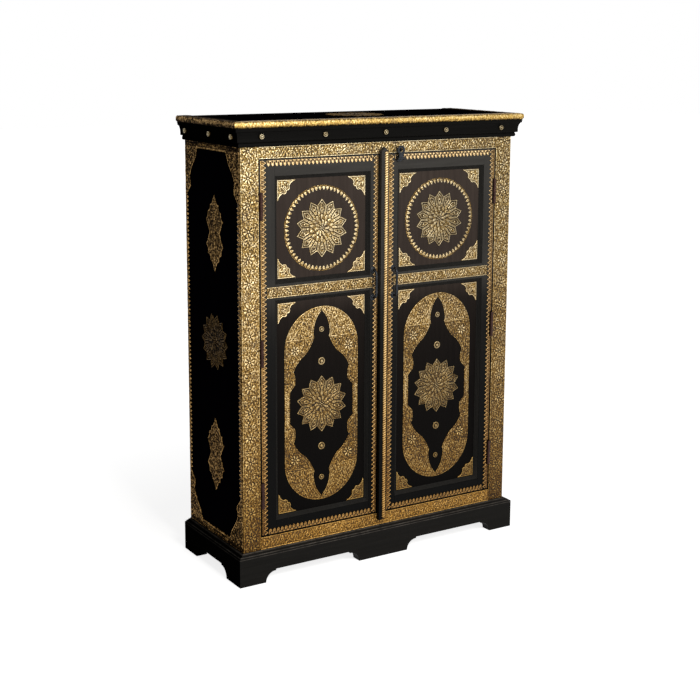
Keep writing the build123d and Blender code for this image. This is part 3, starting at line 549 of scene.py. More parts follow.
# ------------------------------------------------------------------ outlines
def polar(r, angle, u=0.0, v=0.0):
    """The point at a distance and an angle from u, v."""
    return u + r * math.cos(angle), v + r * math.sin(angle)


def arc(a, through, b):
    """Points from a to b on the circle through a third point, without b."""
    (ax, ay), (bx, by), (cx, cy) = a, through, b
    d = 2 * (ax * (by - cy) + bx * (cy - ay) + cx * (ay - by))
    if abs(d) < 1e-9:
        return [a]
    ux = ((ax**2 + ay**2) * (by - cy) + (bx**2 + by**2) * (cy - ay) + (cx**2 + cy**2) * (ay - by)) / d
    uy = ((ax**2 + ay**2) * (cx - bx) + (bx**2 + by**2) * (ax - cx) + (cx**2 + cy**2) * (bx - ax)) / d
    r = math.hypot(ax - ux, ay - uy)
    t0, t1, t2 = (math.atan2(y - uy, x - ux) for x, y in (a, through, b))
    turn, count = 2 * math.pi, 12
    span = (t2 - t0) % turn
    if (t1 - t0) % turn > span:
        span -= turn
    return [(ux + r * math.cos(t0 + span * i / count), uy + r * math.sin(t0 + span * i / count))
            for i in range(count)]


def traced(path):
    """Points along a closed path of (point, arc middle or None)."""
    points = []
    for (here, _), (there, through) in zip(path, path[1:] + path[:1]):
        if math.dist(here, there) < 0.001:
            continue
        points += arc(here, through, there) if through else [here]
    return np.array(points)


def flipped(path, sx, sy):
    """The path mirrored and walked backwards."""
    out = []
    for i in range(len(path) - 1, -1, -1):
        x, y = path[i][0]
        through = path[i + 1][1] if i + 1 < len(path) else None
        out.append(((sx * x, sy * y), (sx * through[0], sy * through[1]) if through else None))
    return out


def four_way(quarter):
    """A whole outline from the quarter in +u, +v that starts at the top."""
    half = quarter + flipped(quarter, 1, -1)
    return traced(half + flipped(half, -1, 1))


def teeth(length, pitch, depth, steps=4, lean=0.75):
    """Points of an edge of leaf-shaped teeth along +u."""
    count = max(1, round(length / pitch))
    step = length / count
    points = []
    for i in range(count):
        for k in range(2 * steps):
            t = k / steps
            x = t if t <= 1 else 2 - t
            points.append(((i + t / 2) * step, depth * x ** lean))
    points.append((length, 0.0))
    return np.array(points), step


# ------------------------------------------------------------------ embossed sheets
class Relief:
    """Height of an embossed sheet above its plain face, on a fine raster, and the distance inside its outline."""

    STEP = 0.45      # between the points of the raster
    REACH = 14.0     # beyond which the distance isn't followed
    MARGIN = 3       # of raster outside the outline

    def __init__(self, loops, seed=0):
        everything = np.vstack(loops)
        low, high = everything.min(0) - self.MARGIN, everything.max(0) + self.MARGIN
        self.u0, self.v0 = low
        self.low, self.high = low + self.MARGIN, high - self.MARGIN
        self.shape = (int((high[1] - low[1]) / self.STEP) + 2, int((high[0] - low[0]) / self.STEP) + 2)
        self.h = np.zeros(self.shape, np.float32)
        self.shade = 1.0
        self.u = self.u0 + np.arange(self.shape[1]) * self.STEP
        self.v = self.v0 + np.arange(self.shape[0]) * self.STEP
        self.random = np.random.default_rng(seed)
        self.inside(loops)

    def inside(self, loops):
        """Signed distance to the outline, positive inside, up to REACH."""
        far = np.full(self.shape, self.REACH, np.float32)
        flips = np.zeros(self.shape, np.int32)
        for loop in loops:
            for (ax, ay), (bx, by) in zip(loop, np.roll(loop, -1, 0)):
                m = self.REACH
                win = self.window(min(ax, bx) - m, max(ax, bx) + m, min(ay, by) - m, max(ay, by) + m)
                du, dv = self.u[win[1]][None, :] - ax, self.v[win[0]][:, None] - ay
                ex, ey = bx - ax, by - ay
                t = np.clip((du * ex + dv * ey) / max(ex * ex + ey * ey, 1e-12), 0, 1)
                far[win] = np.minimum(far[win], np.hypot(du - t * ex, dv - t * ey))
                low, high = sorted((ay, by))
                rows = np.nonzero((self.v >= low) & (self.v < high))[0]
                if len(rows):
                    cross = ax + (self.v[rows] - ay) * ex / ey
                    cols = np.clip(np.ceil((cross - self.u0) / self.STEP).astype(int), 0, self.shape[1] - 1)
                    np.add.at(flips, (rows, cols), 1)
        odd = np.cumsum(flips, 1) % 2 == 1
        self.d = np.where(odd, far, -far)

    def window(self, u0, u1, v0, v1):
        """The slices of the raster between two corners."""
        i0, i1 = int((u0 - self.u0) / self.STEP), int((u1 - self.u0) / self.STEP) + 2
        j0, j1 = int((v0 - self.v0) / self.STEP), int((v1 - self.v0) / self.STEP) + 2
        return slice(max(j0, 0), max(j1, 0)), slice(max(i0, 0), max(i1, 0))

    def near(self, u, v, r):
        """The raster round a point, and its distances from it."""
        win = self.window(u - r, u + r, v - r, v + r)
        return win, self.u[win[1]][None, :] - u, self.v[win[0]][:, None] - v

    def lift(self, win, h):
        """Raises a part of the raster to h, where it is lower."""
        self.h[win] = np.maximum(self.h[win], h)

    def bead(self, u, v, r, h):
        win, du, dv = self.near(u, v, r)
        self.lift(win, h * np.sqrt(np.clip(1 - (du**2 + dv**2) / r**2, 0, 1)))

    def pit(self, u, v, r, depth, long=1.0, angle=0.0):
        """A punched hollow."""
        win, du, dv = self.near(u, v, 2.2 * r * long)
        c, s = math.cos(angle), math.sin(angle)
        a, b = (du * c + dv * s) / long, -du * s + dv * c
        self.h[win] -= depth * np.exp(-((a * a + b * b) / r**2) ** 2)

    def ring(self, u, v, r, w, h):
        win, du, dv = self.near(u, v, r + w)
        self.lift(win, h * np.sqrt(np.clip(1 - ((np.hypot(du, dv) - r) / w) ** 2, 0, 1)))

    def leaf(self, u, v, angle, length, width, h, bend=0.0, vein=0.5, base=0.6, tip=0.9, hollow=0.0):
        """A leaf or petal from its root at u, v."""
        c, s = math.cos(angle), math.sin(angle)
        win, du, dv = self.near(u + c * length / 2, v + s * length / 2, length * (0.62 + abs(bend)) + width / 2)
        du, dv = du + c * length / 2, dv + s * length / 2
        along = (du * c + dv * s) / length
        across = -du * s + dv * c - bend * length * along * along
        q = np.clip(along, 1e-4, 1 - 1e-4)
        top = (base / (base + tip)) ** base * (tip / (base + tip)) ** tip
        half = width / 2 * q**base * (1 - q) ** tip / top
        x = across / np.maximum(half, 0.05)
        body = h * np.sqrt(np.clip(1 - x * x, 0, 1)) * (0.7 + 0.3 * q)
        body = body - vein * h * np.exp(-(across / 0.55) ** 2) * (body > 0) * (q < 0.85)
        body = body - hollow * h * np.clip(1 - 2 * np.abs(x), 0, 1) * (body > 0)
        self.lift(win, np.where((along > 0) & (along < 1), body, 0))

    def stroke(self, points, r0, r1, h):
        """A raised line that tapers from r0 to r1."""
        points = np.asarray(points, float)
        steps = np.hypot(*np.diff(points, axis=0).T)
        length = np.concatenate(([0], np.cumsum(steps)))
        count = max(2, int(length[-1] / 0.7))
        for t in np.linspace(0, 1, count):
            at = t * length[-1]
            r = r0 + (r1 - r0) * t
            self.bead(np.interp(at, length, points[:, 0]), np.interp(at, length, points[:, 1]), r,
                      h * (0.75 + 0.25 * r / r0))

    def curl(self, u, v, r, angle, turns, w, h):
        """A spiral tendril that ends in a bead at u, v."""
        t = np.linspace(0, 1, 18)
        a = angle + turns * 2 * math.pi * t
        rad = r * (1 - 0.82 * t)
        self.stroke(np.stack([u + rad * np.cos(a), v + rad * np.sin(a)], 1), w, w * 0.7, h)
        self.bead(u, v, 1.3 * w, h)

    def clear(self, u, v, r, level):
        """Levels a round patch."""
        win, du, dv = self.near(u, v, r + 1.5)
        k = np.clip((r - np.hypot(du, dv)) / 1.0 + 0.5, 0, 1)
        self.h[win] = self.h[win] * (1 - k) + level * k

    def flower(self, u, v, r, count, h, phase=0.0, slim=0.80):
        """A flower of egg-shaped beads on a sunk ground, with a small heart."""
        self.clear(u, v, r * 1.16, -2.6)
        width = slim * 2 * 0.72 * r * math.sin(math.pi / count)
        for k in range(count):
            a = phase + 2 * math.pi * k / count
            self.leaf(*polar(0.30 * r, a, u, v), a, 0.72 * r, width, h, vein=0.0, base=0.75, tip=0.42)
        self.bead(u, v, 0.17 * r, h * 0.7)

    def star(self, u, v, r, count, level, phase=0.0):
        """A broad flower whose petals are parted by punched slits, round a ringed bead."""
        self.clear(u, v, r, level)
        for k in range(count):
            a = phase + 2 * math.pi * k / count
            self.pit(*polar(0.60 * r, a, u, v), 0.15 * r, 4.2, 2.1, a)
            b = a + math.pi / count
            self.leaf(*polar(0.3 * r, b, u, v), b, 0.74 * r, 0.46 * r, level + 0.9, vein=0.0, base=0.8, tip=0.4)
        win, du, dv = self.near(u, v, 0.5 * r)
        self.h[win] -= 1.9 * np.exp(-((np.hypot(du, dv) - 0.25 * r) / (0.07 * r)) ** 2)
        self.bead(u, v, 0.16 * r, level + 0.9)

    def rim(self, at, w, h, where=True):
        """A ridge that follows the outline at a distance inside it."""
        self.h = np.where(where, np.maximum(self.h, h * np.clip(1 - ((self.d - at) / w) ** 2, 0, 1)), self.h)

    def plain_edge(self, width, h=0.0):
        """Wipes a margin along the outline."""
        k = np.clip((self.d - width) / 0.8, 0, 1)
        self.h = self.h * k + h * (1 - k)

    def mirror(self):
        """Turns the sheet over from side to side."""
        self.u0 = -(self.u0 + (self.shape[1] - 1) * self.STEP)
        self.u = self.u0 + np.arange(self.shape[1]) * self.STEP
        self.low[0], self.high[0] = -self.high[0], -self.low[0]
        self.h, self.d = self.h[:, ::-1].copy(), self.d[:, ::-1].copy()

    def hammer(self, *marks):
        """Slow unevenness of hand work, from marks of a size and an amount."""
        for size, amount in marks:
            rows, cols = (int(n * self.STEP / size) + 3 for n in self.shape)
            coarse = self.random.normal(0, 1, (rows, cols))
            y = np.arange(self.shape[0]) * self.STEP / size
            x = np.arange(self.shape[1]) * self.STEP / size
            j, i = y.astype(int), x.astype(int)
            fy, fx = (y - j)[:, None], (x - i)[None, :]
            fy, fx = fy * fy * (3 - 2 * fy), fx * fx * (3 - 2 * fx)
            a = coarse[j][:, i] * (1 - fx) + coarse[j][:, i + 1] * fx
            b = coarse[j + 1][:, i] * (1 - fx) + coarse[j + 1][:, i + 1] * fx
            self.h = self.h + amount * (a * (1 - fy) + b * fy)
        return self

    def leafy(self, pitch, h, margin, where=None, lean=0.8, ground=0.6):
        """Slanting leaves crowded over a sunk ground, each with a punched hollow, a margin inside the outline."""
        self.h = self.h - ground * np.clip((self.d - margin) / 1.5, 0, 1)
        draw = self.random
        rows = np.arange(self.low[1], self.high[1] + pitch, pitch * 0.88)
        for n, v in enumerate(rows):
            for u in np.arange(self.low[0] + (n % 2) * pitch / 2, self.high[0] + pitch, pitch):
                x, y = u + draw.uniform(-0.22, 0.22) * pitch, v + draw.uniform(-0.22, 0.22) * pitch
                way = draw.choice((-1, 1))
                turn = way * lean + draw.normal(0, 0.50) + draw.choice((0, math.pi))
                bend, length = way * draw.uniform(0.1, 0.5), pitch * draw.uniform(0.85, 1.35)
                side, spot = draw.uniform(0.9, 1.5), draw.uniform(0, 2 * math.pi)
                if self.distance(x, y) < margin or (where is not None and not where(x, y)):
                    continue
                self.leaf(x - length / 2 * math.cos(turn), y - length / 2 * math.sin(turn), turn, length,
                          pitch * draw.uniform(0.40, 0.54), h * draw.uniform(0.8, 1.15), bend, 0.4)
                self.leaf(x, y, turn + way * side, length * 0.62, pitch * 0.36, h * 0.9, -bend, 0.25)
                self.pit(x + 0.46 * pitch * math.cos(spot), y + 0.46 * pitch * math.sin(spot), pitch * 0.15, 1.5)

    def distance(self, u, v):
        """How far inside the outline a point is."""
        j = min(max(int((v - self.v0) / self.STEP), 0), self.shape[0] - 1)
        i = min(max(int((u - self.u0) / self.STEP), 0), self.shape[1] - 1)
        return self.d[j, i]

    def blurred(self, r):
        """The height evened over a square of 2r."""
        n = max(1, int(r / self.STEP))
        out = self.h
        for axis in (0, 1):
            pad = [(n + 1, n), (0, 0)] if axis == 0 else [(0, 0), (n + 1, n)]
            total = np.cumsum(np.pad(out, pad, mode="edge"), axis=axis)
            size = out.shape[axis]
            high = np.take(total, range(2 * n + 1, 2 * n + 1 + size), axis=axis)
            low = np.take(total, range(0, size), axis=axis)
            out = (high - low) / (2 * n + 1)
        return out

    def tone(self):
        """0 in the hollows and 1 on the crests: patina in the hollows and rubbed crests, with the painted shade and
        highlights of the relief in them too.
        """
        local = self.h - self.blurred(3.2)
        return np.clip((0.48 + 0.50 * local + 0.10 * self.h) * self.shade, 0, 1)

    def sample(self, raster, u, v):
        """Values of a raster between its points."""
        x = np.clip((u - self.u0) / self.STEP, 0, self.shape[1] - 1.001)
        y = np.clip((v - self.v0) / self.STEP, 0, self.shape[0] - 1.001)
        i, j = x.astype(int), y.astype(int)
        fx, fy = x - i, y - j
        return ((raster[j, i] * (1 - fx) + raster[j, i + 1] * fx) * (1 - fy)
                + (raster[j + 1, i] * (1 - fx) + raster[j + 1, i + 1] * fx) * fy)

    def mesh(self, name, place, coarse=1.0, base=SHEET, fill=None, edge=SHEET):
        """A closed sheet: relief above, a wall down to the back and a flat back."""
        pitch = (brass().pitch / MM) * coarse
        nu = max(2, int(round((self.high[0] - self.low[0]) / pitch)))
        nv = max(2, int(round((self.high[1] - self.low[1]) / pitch)))
        us = np.linspace(self.low[0] - pitch * 0.5, self.high[0] + pitch * 0.5, nu + 2)
        vs = np.linspace(self.low[1] - pitch * 0.5, self.high[1] + pitch * 0.5, nv + 2)
        u, v = np.meshgrid(us, vs)
        d = self.sample(self.d, u, v)
        e = 0.5
        gu = self.sample(self.d, u + e, v) - self.sample(self.d, u - e, v)
        gv = self.sample(self.d, u, v + e) - self.sample(self.d, u, v - e)
        size = np.maximum(np.hypot(gu, gv), 1e-6)
        snap = np.abs(d) < 0.38 * pitch
        u = np.where(snap, u - d * gu / size, u)
        v = np.where(snap, v - d * gv / size, v)
        d = np.where(snap, 0.0, d)
        points, faces = self.cells(u, v, d)
        tone = self.sample(self.tone(), points[:, 0], points[:, 1])
        height = base + self.sample(self.h, points[:, 0], points[:, 1]) * brass().height
        height = np.maximum(height, 0.25)
        return closed_sheet(name, points, height, tone, faces, place, fill, edge)

    def cells(self, u, v, d):
        """Whole cells inside the outline and the cut cells along it."""
        index = -np.ones(d.shape, int)
        keep = d >= 0
        index[keep] = np.arange(keep.sum())
        points = list(zip(u[keep], v[keep]))
        a, b, c, e = (index[:-1, :-1], index[:-1, 1:], index[1:, 1:], index[1:, :-1])
        mid_d = self.sample(self.d, (u[:-1, :-1] + u[1:, 1:]) / 2, (v[:-1, :-1] + v[1:, 1:]) / 2)
        whole = (a >= 0) & (b >= 0) & (c >= 0) & (e >= 0) & (mid_d > 0)
        faces = np.stack([a[whole], b[whole], c[whole], e[whole]], 1).tolist()
        some = ((a >= 0) | (b >= 0) | (c >= 0) | (e >= 0)) & ~((a >= 0) & (b >= 0) & (c >= 0) & (e >= 0))
        cuts = {}

        def cut(p, q):
            key = (p, q) if p < q else (q, p)
            if key not in cuts:
                dp, dq = d[key[0]], d[key[1]]
                t = dp / (dp - dq)
                cuts[key] = len(points)
                points.append((u[key[0]] + t * (u[key[1]] - u[key[0]]), v[key[0]] + t * (v[key[1]] - v[key[0]])))
            return cuts[key]

        for j, i in zip(*np.nonzero(some)):
            corners = ((j, i), (j, i + 1), (j + 1, i + 1), (j + 1, i))
            shape = []
            for n in range(4):
                p, q = corners[n], corners[(n + 1) % 4]
                if d[p] >= 0:
                    shape.append(int(index[p]))
                if (d[p] > 0 and d[q] < 0) or (d[p] < 0 and d[q] > 0):
                    shape.append(cut(p, q))
            if len(shape) >= 3:
                faces.append(shape)
        return np.array(points), faces


def filled(flat, bars):
    """Triangles over the inner side of the bars, turned to face away. Where bars cross, flat gains a point."""
    spots, _, triangles, origin, _, _ = delaunay_2d_cdt(flat, bars, [], 2, 1e-7)
    number = []
    for spot, source in zip(spots, origin):
        number.append(source[0] if source else len(flat))
        if not source:
            flat.append(Vector(spot))
    where = np.array([tuple(point) for point in flat])
    shapes = np.array([[number[n] for n in triangle] for triangle in triangles])
    a, b, c = (where[shapes[:, n]] for n in range(3))
    left = (b - a)[:, 0] * (c - a)[:, 1] - (b - a)[:, 1] * (c - a)[:, 0] > 0
    centre = (a + b + c) / 3
    p, q = (where[[bar[n] for bar in bars]] for n in (0, 1))
    rise = np.where(np.abs(q[:, 1] - p[:, 1]) < 1e-9, 1e-9, q[:, 1] - p[:, 1])
    kept = []
    for n in range(0, len(centre), 400):
        u, v = centre[n:n + 400, :1], centre[n:n + 400, 1:]
        over = (p[:, 1] <= v) != (q[:, 1] <= v)
        right = p[:, 0] + (v - p[:, 1]) / rise * (q[:, 0] - p[:, 0]) > u
        kept.append((over & right).sum(1) % 2 == 1)
    kept = np.concatenate(kept)
    return [(x, z, y) if turn else (x, y, z) for (x, y, z), turn, keep in zip(shapes.tolist(), left, kept) if keep]


def closed_sheet(name, points, height, tone, faces, place, fill, edge):
    """Adds the wall and the back to a relief and puts it in place. A sheet that is bent has points to fill its
    back, and edge is the thickness along its outline."""
    count = len(points)
    edges = {}
    for face in faces:
        for a, b in zip(face, face[1:] + face[:1]):
            if (b, a) in edges:
                del edges[(b, a)]
            else:
                edges[(a, b)] = True
    rim = sorted({n for edge in edges for n in edge})
    number = {n: k for k, n in enumerate(rim)}
    wall = [(b, a, count + number[a], count + number[b]) for a, b in edges]
    flat = [Vector(points[n]) for n in rim]
    bars = [(number[a], number[b]) for a, b in edges]
    if fill is not None:
        flat += [Vector(point) for point in fill]
    back = [tuple(count + n for n in triangle) for triangle in filled(flat, bars)]
    flat = np.array([tuple(point) for point in flat])
    flat = np.vstack([points, flat])
    level = np.concatenate([height, np.zeros(len(flat) - count)])
    level[rim] = np.minimum(level[rim], edge)
    tones = np.concatenate([tone, np.full(len(flat) - count, 0.30)])
    x, y, z = place(flat[:, 0], flat[:, 1], level)
    obj = mesh_object(name, np.stack([x, y, z], 1), faces + wall + back, 55)
    give_tone(obj, tones)
    return obj


# Places of a sheet on a face: u to the side, v up, or back on the top, and h out of the face.
def on_front(y):
    return lambda u, v, h: (u, y - h, v)


def on_left(x):
    return lambda u, v, h: (x - h, -u, v)


def on_right(x):
    return lambda u, v, h: (x + h, u, v)


def on_top(z):
    return lambda u, v, h: (u, v, z + h)


def rectangle(u0, u1, v0, v1):
    return np.array([(u0, v0), (u1, v0), (u1, v1), (u0, v1)], float)


# ------------------------------------------------------------------ ornaments
def petal_loop(r, phase=math.pi / 2):
    """Outline of a rosette of pointed petals."""
    path, last = [], None
    half = math.pi / PETALS
    low, mid = r * VALLEY, r * (1 + 2 * VALLEY) / 3
    for i in range(PETALS):
        tip = phase + 2 * half * i
        spots = ((low, -1.0), (mid + 0.006 * r, -0.62), (r, 0.0), (mid + 0.006 * r, 0.62))
        a, b, c, d = [polar(q, tip + k * half) for q, k in spots]
        path += [(a, last), (c, b)]
        last = d
    path[0] = (path[0][0], last)
    return traced(path)


def bump(x, w):
    """A rounded ridge: 1 where x is 0, and 0 beyond w."""
    return np.clip(1 - (x / w) ** 2, 0, 1)


def rosette(r, seed, height=1.0, phase=math.pi / 2, ground=-1.1):
    """A lotus rosette: pointed petals with nested ridges and an eye, two rings of scales and a crowded heart."""
    s = Relief([petal_loop(r, phase)], seed)
    k = r / ROSETTE_R
    u, v = np.meshgrid(s.u, s.v)
    radius, angle = np.hypot(u, v), np.arctan2(v, u)
    half = math.pi / PETALS
    turn = angle - phase
    turn = turn - 2 * half * np.round(turn / (2 * half))
    out, across = radius * np.cos(turn), np.abs(radius * np.sin(turn))
    low_out, low_across = VALLEY * r * math.cos(half), VALLEY * r * math.sin(half)
    side = math.hypot(r - low_out, low_across)
    to_edge = (low_across * (r - out) - (r - low_out) * across) / side
    to_next = out * math.sin(half) - across * math.cos(half)
    inward = np.minimum(to_edge, to_next * 0.92 + 0.2) / k
    petal = np.full_like(radius, ground)
    for at, w, h in ((1.6, 1.8, 2.2), (7.6, 1.7, 2.1)):
        petal = np.maximum(petal, (h - ground) * bump(inward - at, w) + ground)
    s.h = np.where(radius > 44 * k, petal, -0.5).astype(np.float32)
    for i in range(PETALS):
        a = phase + 2 * half * i
        s.leaf(*polar(41 * k, a), a, 23 * k, 11.0 * k, 1.7, vein=0.0, base=0.8, tip=0.75)
        s.pit(*polar(56 * k, a), 2.3 * k, 3.4)
        b = a + half
        s.leaf(*polar(34 * k, b), b, 17 * k, 9.5 * k, 1.7, vein=0.5, base=0.8, tip=0.5)
        s.leaf(*polar(24 * k, a), a, 17 * k, 9.0 * k, 1.9, vein=0.5, base=0.8, tip=0.5)
        s.pit(*polar(43 * k, a), 1.5 * k, 1.6)
        s.pit(*polar(52.5 * k, b), 1.4 * k, 1.4)
        s.pit(*polar(33 * k, b), 1.5 * k, 1.6)
    for i in range(10):
        a = 2 * math.pi * i / 10 + s.random.uniform(-0.1, 0.1)
        s.leaf(*polar(9 * k, a), a, 16 * k, 8.6 * k, 2.2, 0.2, vein=0.3, base=0.9, tip=0.5)
        s.pit(*polar(17 * k, a + 0.31), 1.6 * k, 1.5)
    for i in range(6):
        a = 2 * math.pi * i / 6 + 0.3
        s.bead(*polar(6.6 * k, a), 2.3 * k, 2.4)
    s.bead(0, 0, 3.0 * k, 3.0)
    s.h = (s.h * height).astype(np.float32)
    return s.hammer((9.0, 0.14), (3.0, 0.12))


def ring_of_drops(r, seed):
    """A thin rim with pointed drops on its inner edge."""
    count, width = 58, 15.5
    half = math.pi / count
    inner = []
    for i in range(count):
        for q, k in ((0.19, -1.0), (0.20, -0.86), (0.36, -0.80), (0.55, -0.68), (0.74, -0.46), (0.89, -0.22),
                     (1.0, 0.0), (0.89, 0.22), (0.74, 0.46), (0.55, 0.68), (0.36, 0.80), (0.20, 0.86)):
            inner.append(polar(r - q * width, 2 * half * i + k * half))
    outer = [polar(r, t) for t in np.arange(0, 2 * math.pi, math.pi / 90)]
    s = Relief([np.array(outer), np.array(inner)], seed)
    u, v = np.meshgrid(s.u, s.v)
    radius = np.hypot(u, v)
    s.h = (0.5 * bump(radius - (r - 1.3), 1.5) - 0.75).astype(np.float32)
    for i in range(count):
        a = 2 * half * i
        s.leaf(*polar(r - 3.6, a), a + math.pi, 12.0, 11.6, 2.4, vein=0.22, base=0.28, tip=0.80)
        s.pit(*polar(r - 3.6, a + half), 1.5, 1.9, 1.2, a)
    return s.hammer((6.0, 0.10))


def corner_loop(s):
    """A corner piece with its right angle at the origin and arms of length s, waisted between lobes."""
    return traced([((0, 0), None), ((s, 0), None), ((0.94 * s, 0.07 * s), None),
                   ((0.66 * s, 0.30 * s), (0.80 * s, 0.13 * s)), ((0.52 * s, 0.52 * s), (0.67 * s, 0.44 * s)),
                   ((0.30 * s, 0.66 * s), (0.44 * s, 0.67 * s)), ((0.07 * s, 0.94 * s), (0.13 * s, 0.80 * s)),
                   ((0, s), None)])


def corner_piece(size, turn, seed):
    """An embossed corner piece turned by quarter turns."""
    c, sn = (1, 0, -1, 0)[turn], (0, 1, 0, -1)[turn]
    k = size / 62.0      # the places below are drawn for arms of 62

    def at(x, y):
        return x * c - y * sn, x * sn + y * c

    s = Relief([np.stack(at(*corner_loop(size).T), 1)], seed)
    s.h -= 0.7
    spin = turn * math.pi / 2
    for x, y, a, length, w, bend in ((5, 5, 45, 17, 9, 0.0), (9, 5.5, 8, 24, 7, 0.12), (5.5, 9, 82, 24, 7, -0.12),
                                     (15, 9, 30, 15, 6, 0.3), (9, 15, 60, 15, 6, -0.3),
                                     (33, 6.0, 4, 18, 5.4, 0.1), (6.0, 33, 86, 18, 5.4, -0.1)):
        s.leaf(*at(x * k, y * k), math.radians(a) + spin, length * k, w * k, 1.8, bend, 0.3)
    heart = at(24.5 * k, 24.5 * k)
    s.clear(*heart, 7.0 * k, -0.7)
    s.ring(*heart, 5.0 * k, 1.7 * k, 1.7)
    s.bead(*heart, 2.3 * k, 1.9)
    for x, y in ((19, 12), (12, 19), (30, 10), (10, 30), (3.5, 14), (14, 3.5)):
        s.pit(*at(x * k, y * k), 1.5 * k, 1.3)
    s.rim(1.9, 2.2, 1.9)
    s.rim(6.8, 1.4, 1.3)
    return s.hammer((7.0, 0.14), (2.6, 0.12))


FLANK, WAIST = 0.87, 0.158               # straight flanks of the opening, as shares of the plate
LEDGES = (0.675, -0.65)                  # heights of the level ridges
FLOWERS = (0.73, 0.575, -0.545)          # places of the flowers: out, up and down


def ogee_loop(a, h):
    """The pointed opening of a round-ended plate 2a wide and 2h tall."""
    return four_way([((0, 0.985 * h), None), ((0.020 * a, 0.950 * h), None),
                     ((0.215 * a, 0.766 * h), (0.15 * a, 0.87 * h)),
                     ((0.20 * a, 0.695 * h), (0.225 * a, 0.73 * h)),
                     ((0.44 * a, 0.525 * h), (0.28 * a, 0.62 * h)),
                     ((0.76 * a, 0.365 * h), (0.62 * a, 0.46 * h)),
                     ((0.73 * a, 0.222 * h), (0.715 * a, 0.29 * h)),
                     ((FLANK * a, WAIST * h), None), ((FLANK * a, 0.0), None)])


def scalloped(loop, u_from, waist, step, depth):
    """The loop with a saw edge on its straight flanks at |u| = u_from and small waves on its slopes."""
    points = []
    for (ax, ay), (bx, by) in zip(loop, np.roll(loop, -1, 0)):
        points.append((ax, ay))
        if abs(abs(ax) - u_from) < 0.3 and abs(abs(bx) - u_from) < 0.3 and abs(by - ay) > 3 * step:
            count = int(abs(by - ay) / step)
            way = math.copysign(1.0, ax)
            for n in range(2 * count):
                t = (n + 0.5) / (2 * count)
                points.append((ax - way * (depth if n % 2 else 0.0), ay + (by - ay) * t))
    points = np.array(points)
    ahead, behind = np.roll(points, -1, 0), np.roll(points, 1, 0)
    along = np.cumsum(np.hypot(*(points - behind).T))
    side = ahead - behind
    side = np.stack([side[:, 1], -side[:, 0]], 1) / np.maximum(np.hypot(*side.T), 1e-6)[:, None]
    slope = (np.abs(points[:, 1]) > waist + 4) & (np.abs(points[:, 1]) < 0.64 * points[:, 1].max())
    wave = 0.7 * np.sin(2 * math.pi * along / 9.0) * slope
    return points + side * wave[:, None]


def arch_plate(a, h, seed):
    """A round-ended plate with an ogee opening, leafy fields, four deep flowers and a dotted waist."""
    outer = [polar(a, math.pi * k / 60, 0.0, h - a) for k in range(61)]
    outer += [polar(a, math.pi + math.pi * k / 60, 0.0, a - h) for k in range(61)]
    dense = []
    loop = ogee_loop(a, h)
    for p, q in zip(loop, np.roll(loop, -1, 0)):
        count = max(1, int(math.dist(p, q) / 2.0)) if abs(abs(p[0]) - FLANK * a) > 0.3 else 1
        dense += [p + (q - p) * n / count for n in range(count)]
    waist = WAIST * h
    s = Relief([np.array(outer), scalloped(np.array(dense), FLANK * a, waist, 5.4, 2.2)], seed)
    u, v = np.meshgrid(s.u, s.v)
    s.leafy(8.8, 1.25, 3.2, lambda x, y: abs(y) > waist + 8, 0.75, 0.3)
    s.h = np.where(np.abs(v) < waist + 4, -0.1, s.h).astype(np.float32)
    for level in (ledge * h for ledge in LEDGES):
        band = bump(v - level - 2.2, 1.7) * (s.d > 4)
        s.h = (np.maximum(s.h, 1.0 * band) - 2.3 * bump(v - level + 0.6, 1.6) * (s.d > 4)).astype(np.float32)
    s.plain_edge(3.6, -0.2)
    near_hole = (np.hypot(u, np.maximum(np.abs(v) - (h - a), 0)) < a - 9) & (np.abs(v) > waist)
    s.rim(1.3, 1.6, 0.8)
    s.h = np.where(near_hole & (s.d > 3.0) & (s.d < 5.0), np.minimum(s.h, -0.4), s.h).astype(np.float32)
    s.rim(6.4, 1.4, 1.0, near_hole)
    for way in (-1, 1):
        for n, x in enumerate(np.arange(-waist - 2, waist + 2.1, 5.6)):
            for q, off in ((0.90 * a + 1.6, 0.0), (0.90 * a + 7.6, 2.8)):
                s.ring(way * q, x + off, 2.7, 1.1, 1.3)
                s.pit(way * q, x + off, 1.35, 2.2)
    s.shade = np.where((v < LEDGES[0] * h) & (v > LEDGES[1] * h), 0.87, 1.10)
    out, *ups = FLOWERS
    for y in ups:
        for x in (-1, 1):
            s.shade[np.hypot(u - x * out * a, v - y * h) < 16.5] = 1.25
            s.flower(x * out * a, y * h, 15.2, 7, 3.4, 0.39 * (x > 0), 0.60)
    return s.hammer((8.0, 0.18), (2.6, 0.16))


def drops(length, pitch, depth):
    """Points of an edge of parted drops along +u, and their step."""
    count = max(1, round(length / pitch))
    step = length / count
    half = ((0.45, 0.0), (0.39, 0.10), (0.385, 0.30), (0.34, 0.52), (0.25, 0.72), (0.13, 0.90))
    points = [(0.0, 0.0)]
    for i in range(count):
        points += [((i + 0.5 - x) * step, y * depth) for x, y in half] + [((i + 0.5) * step, depth)]
        points += [((i + 0.5 + x) * step, y * depth) for x, y in half[::-1]]
    return np.array(points + [(length, 0.0)]), step


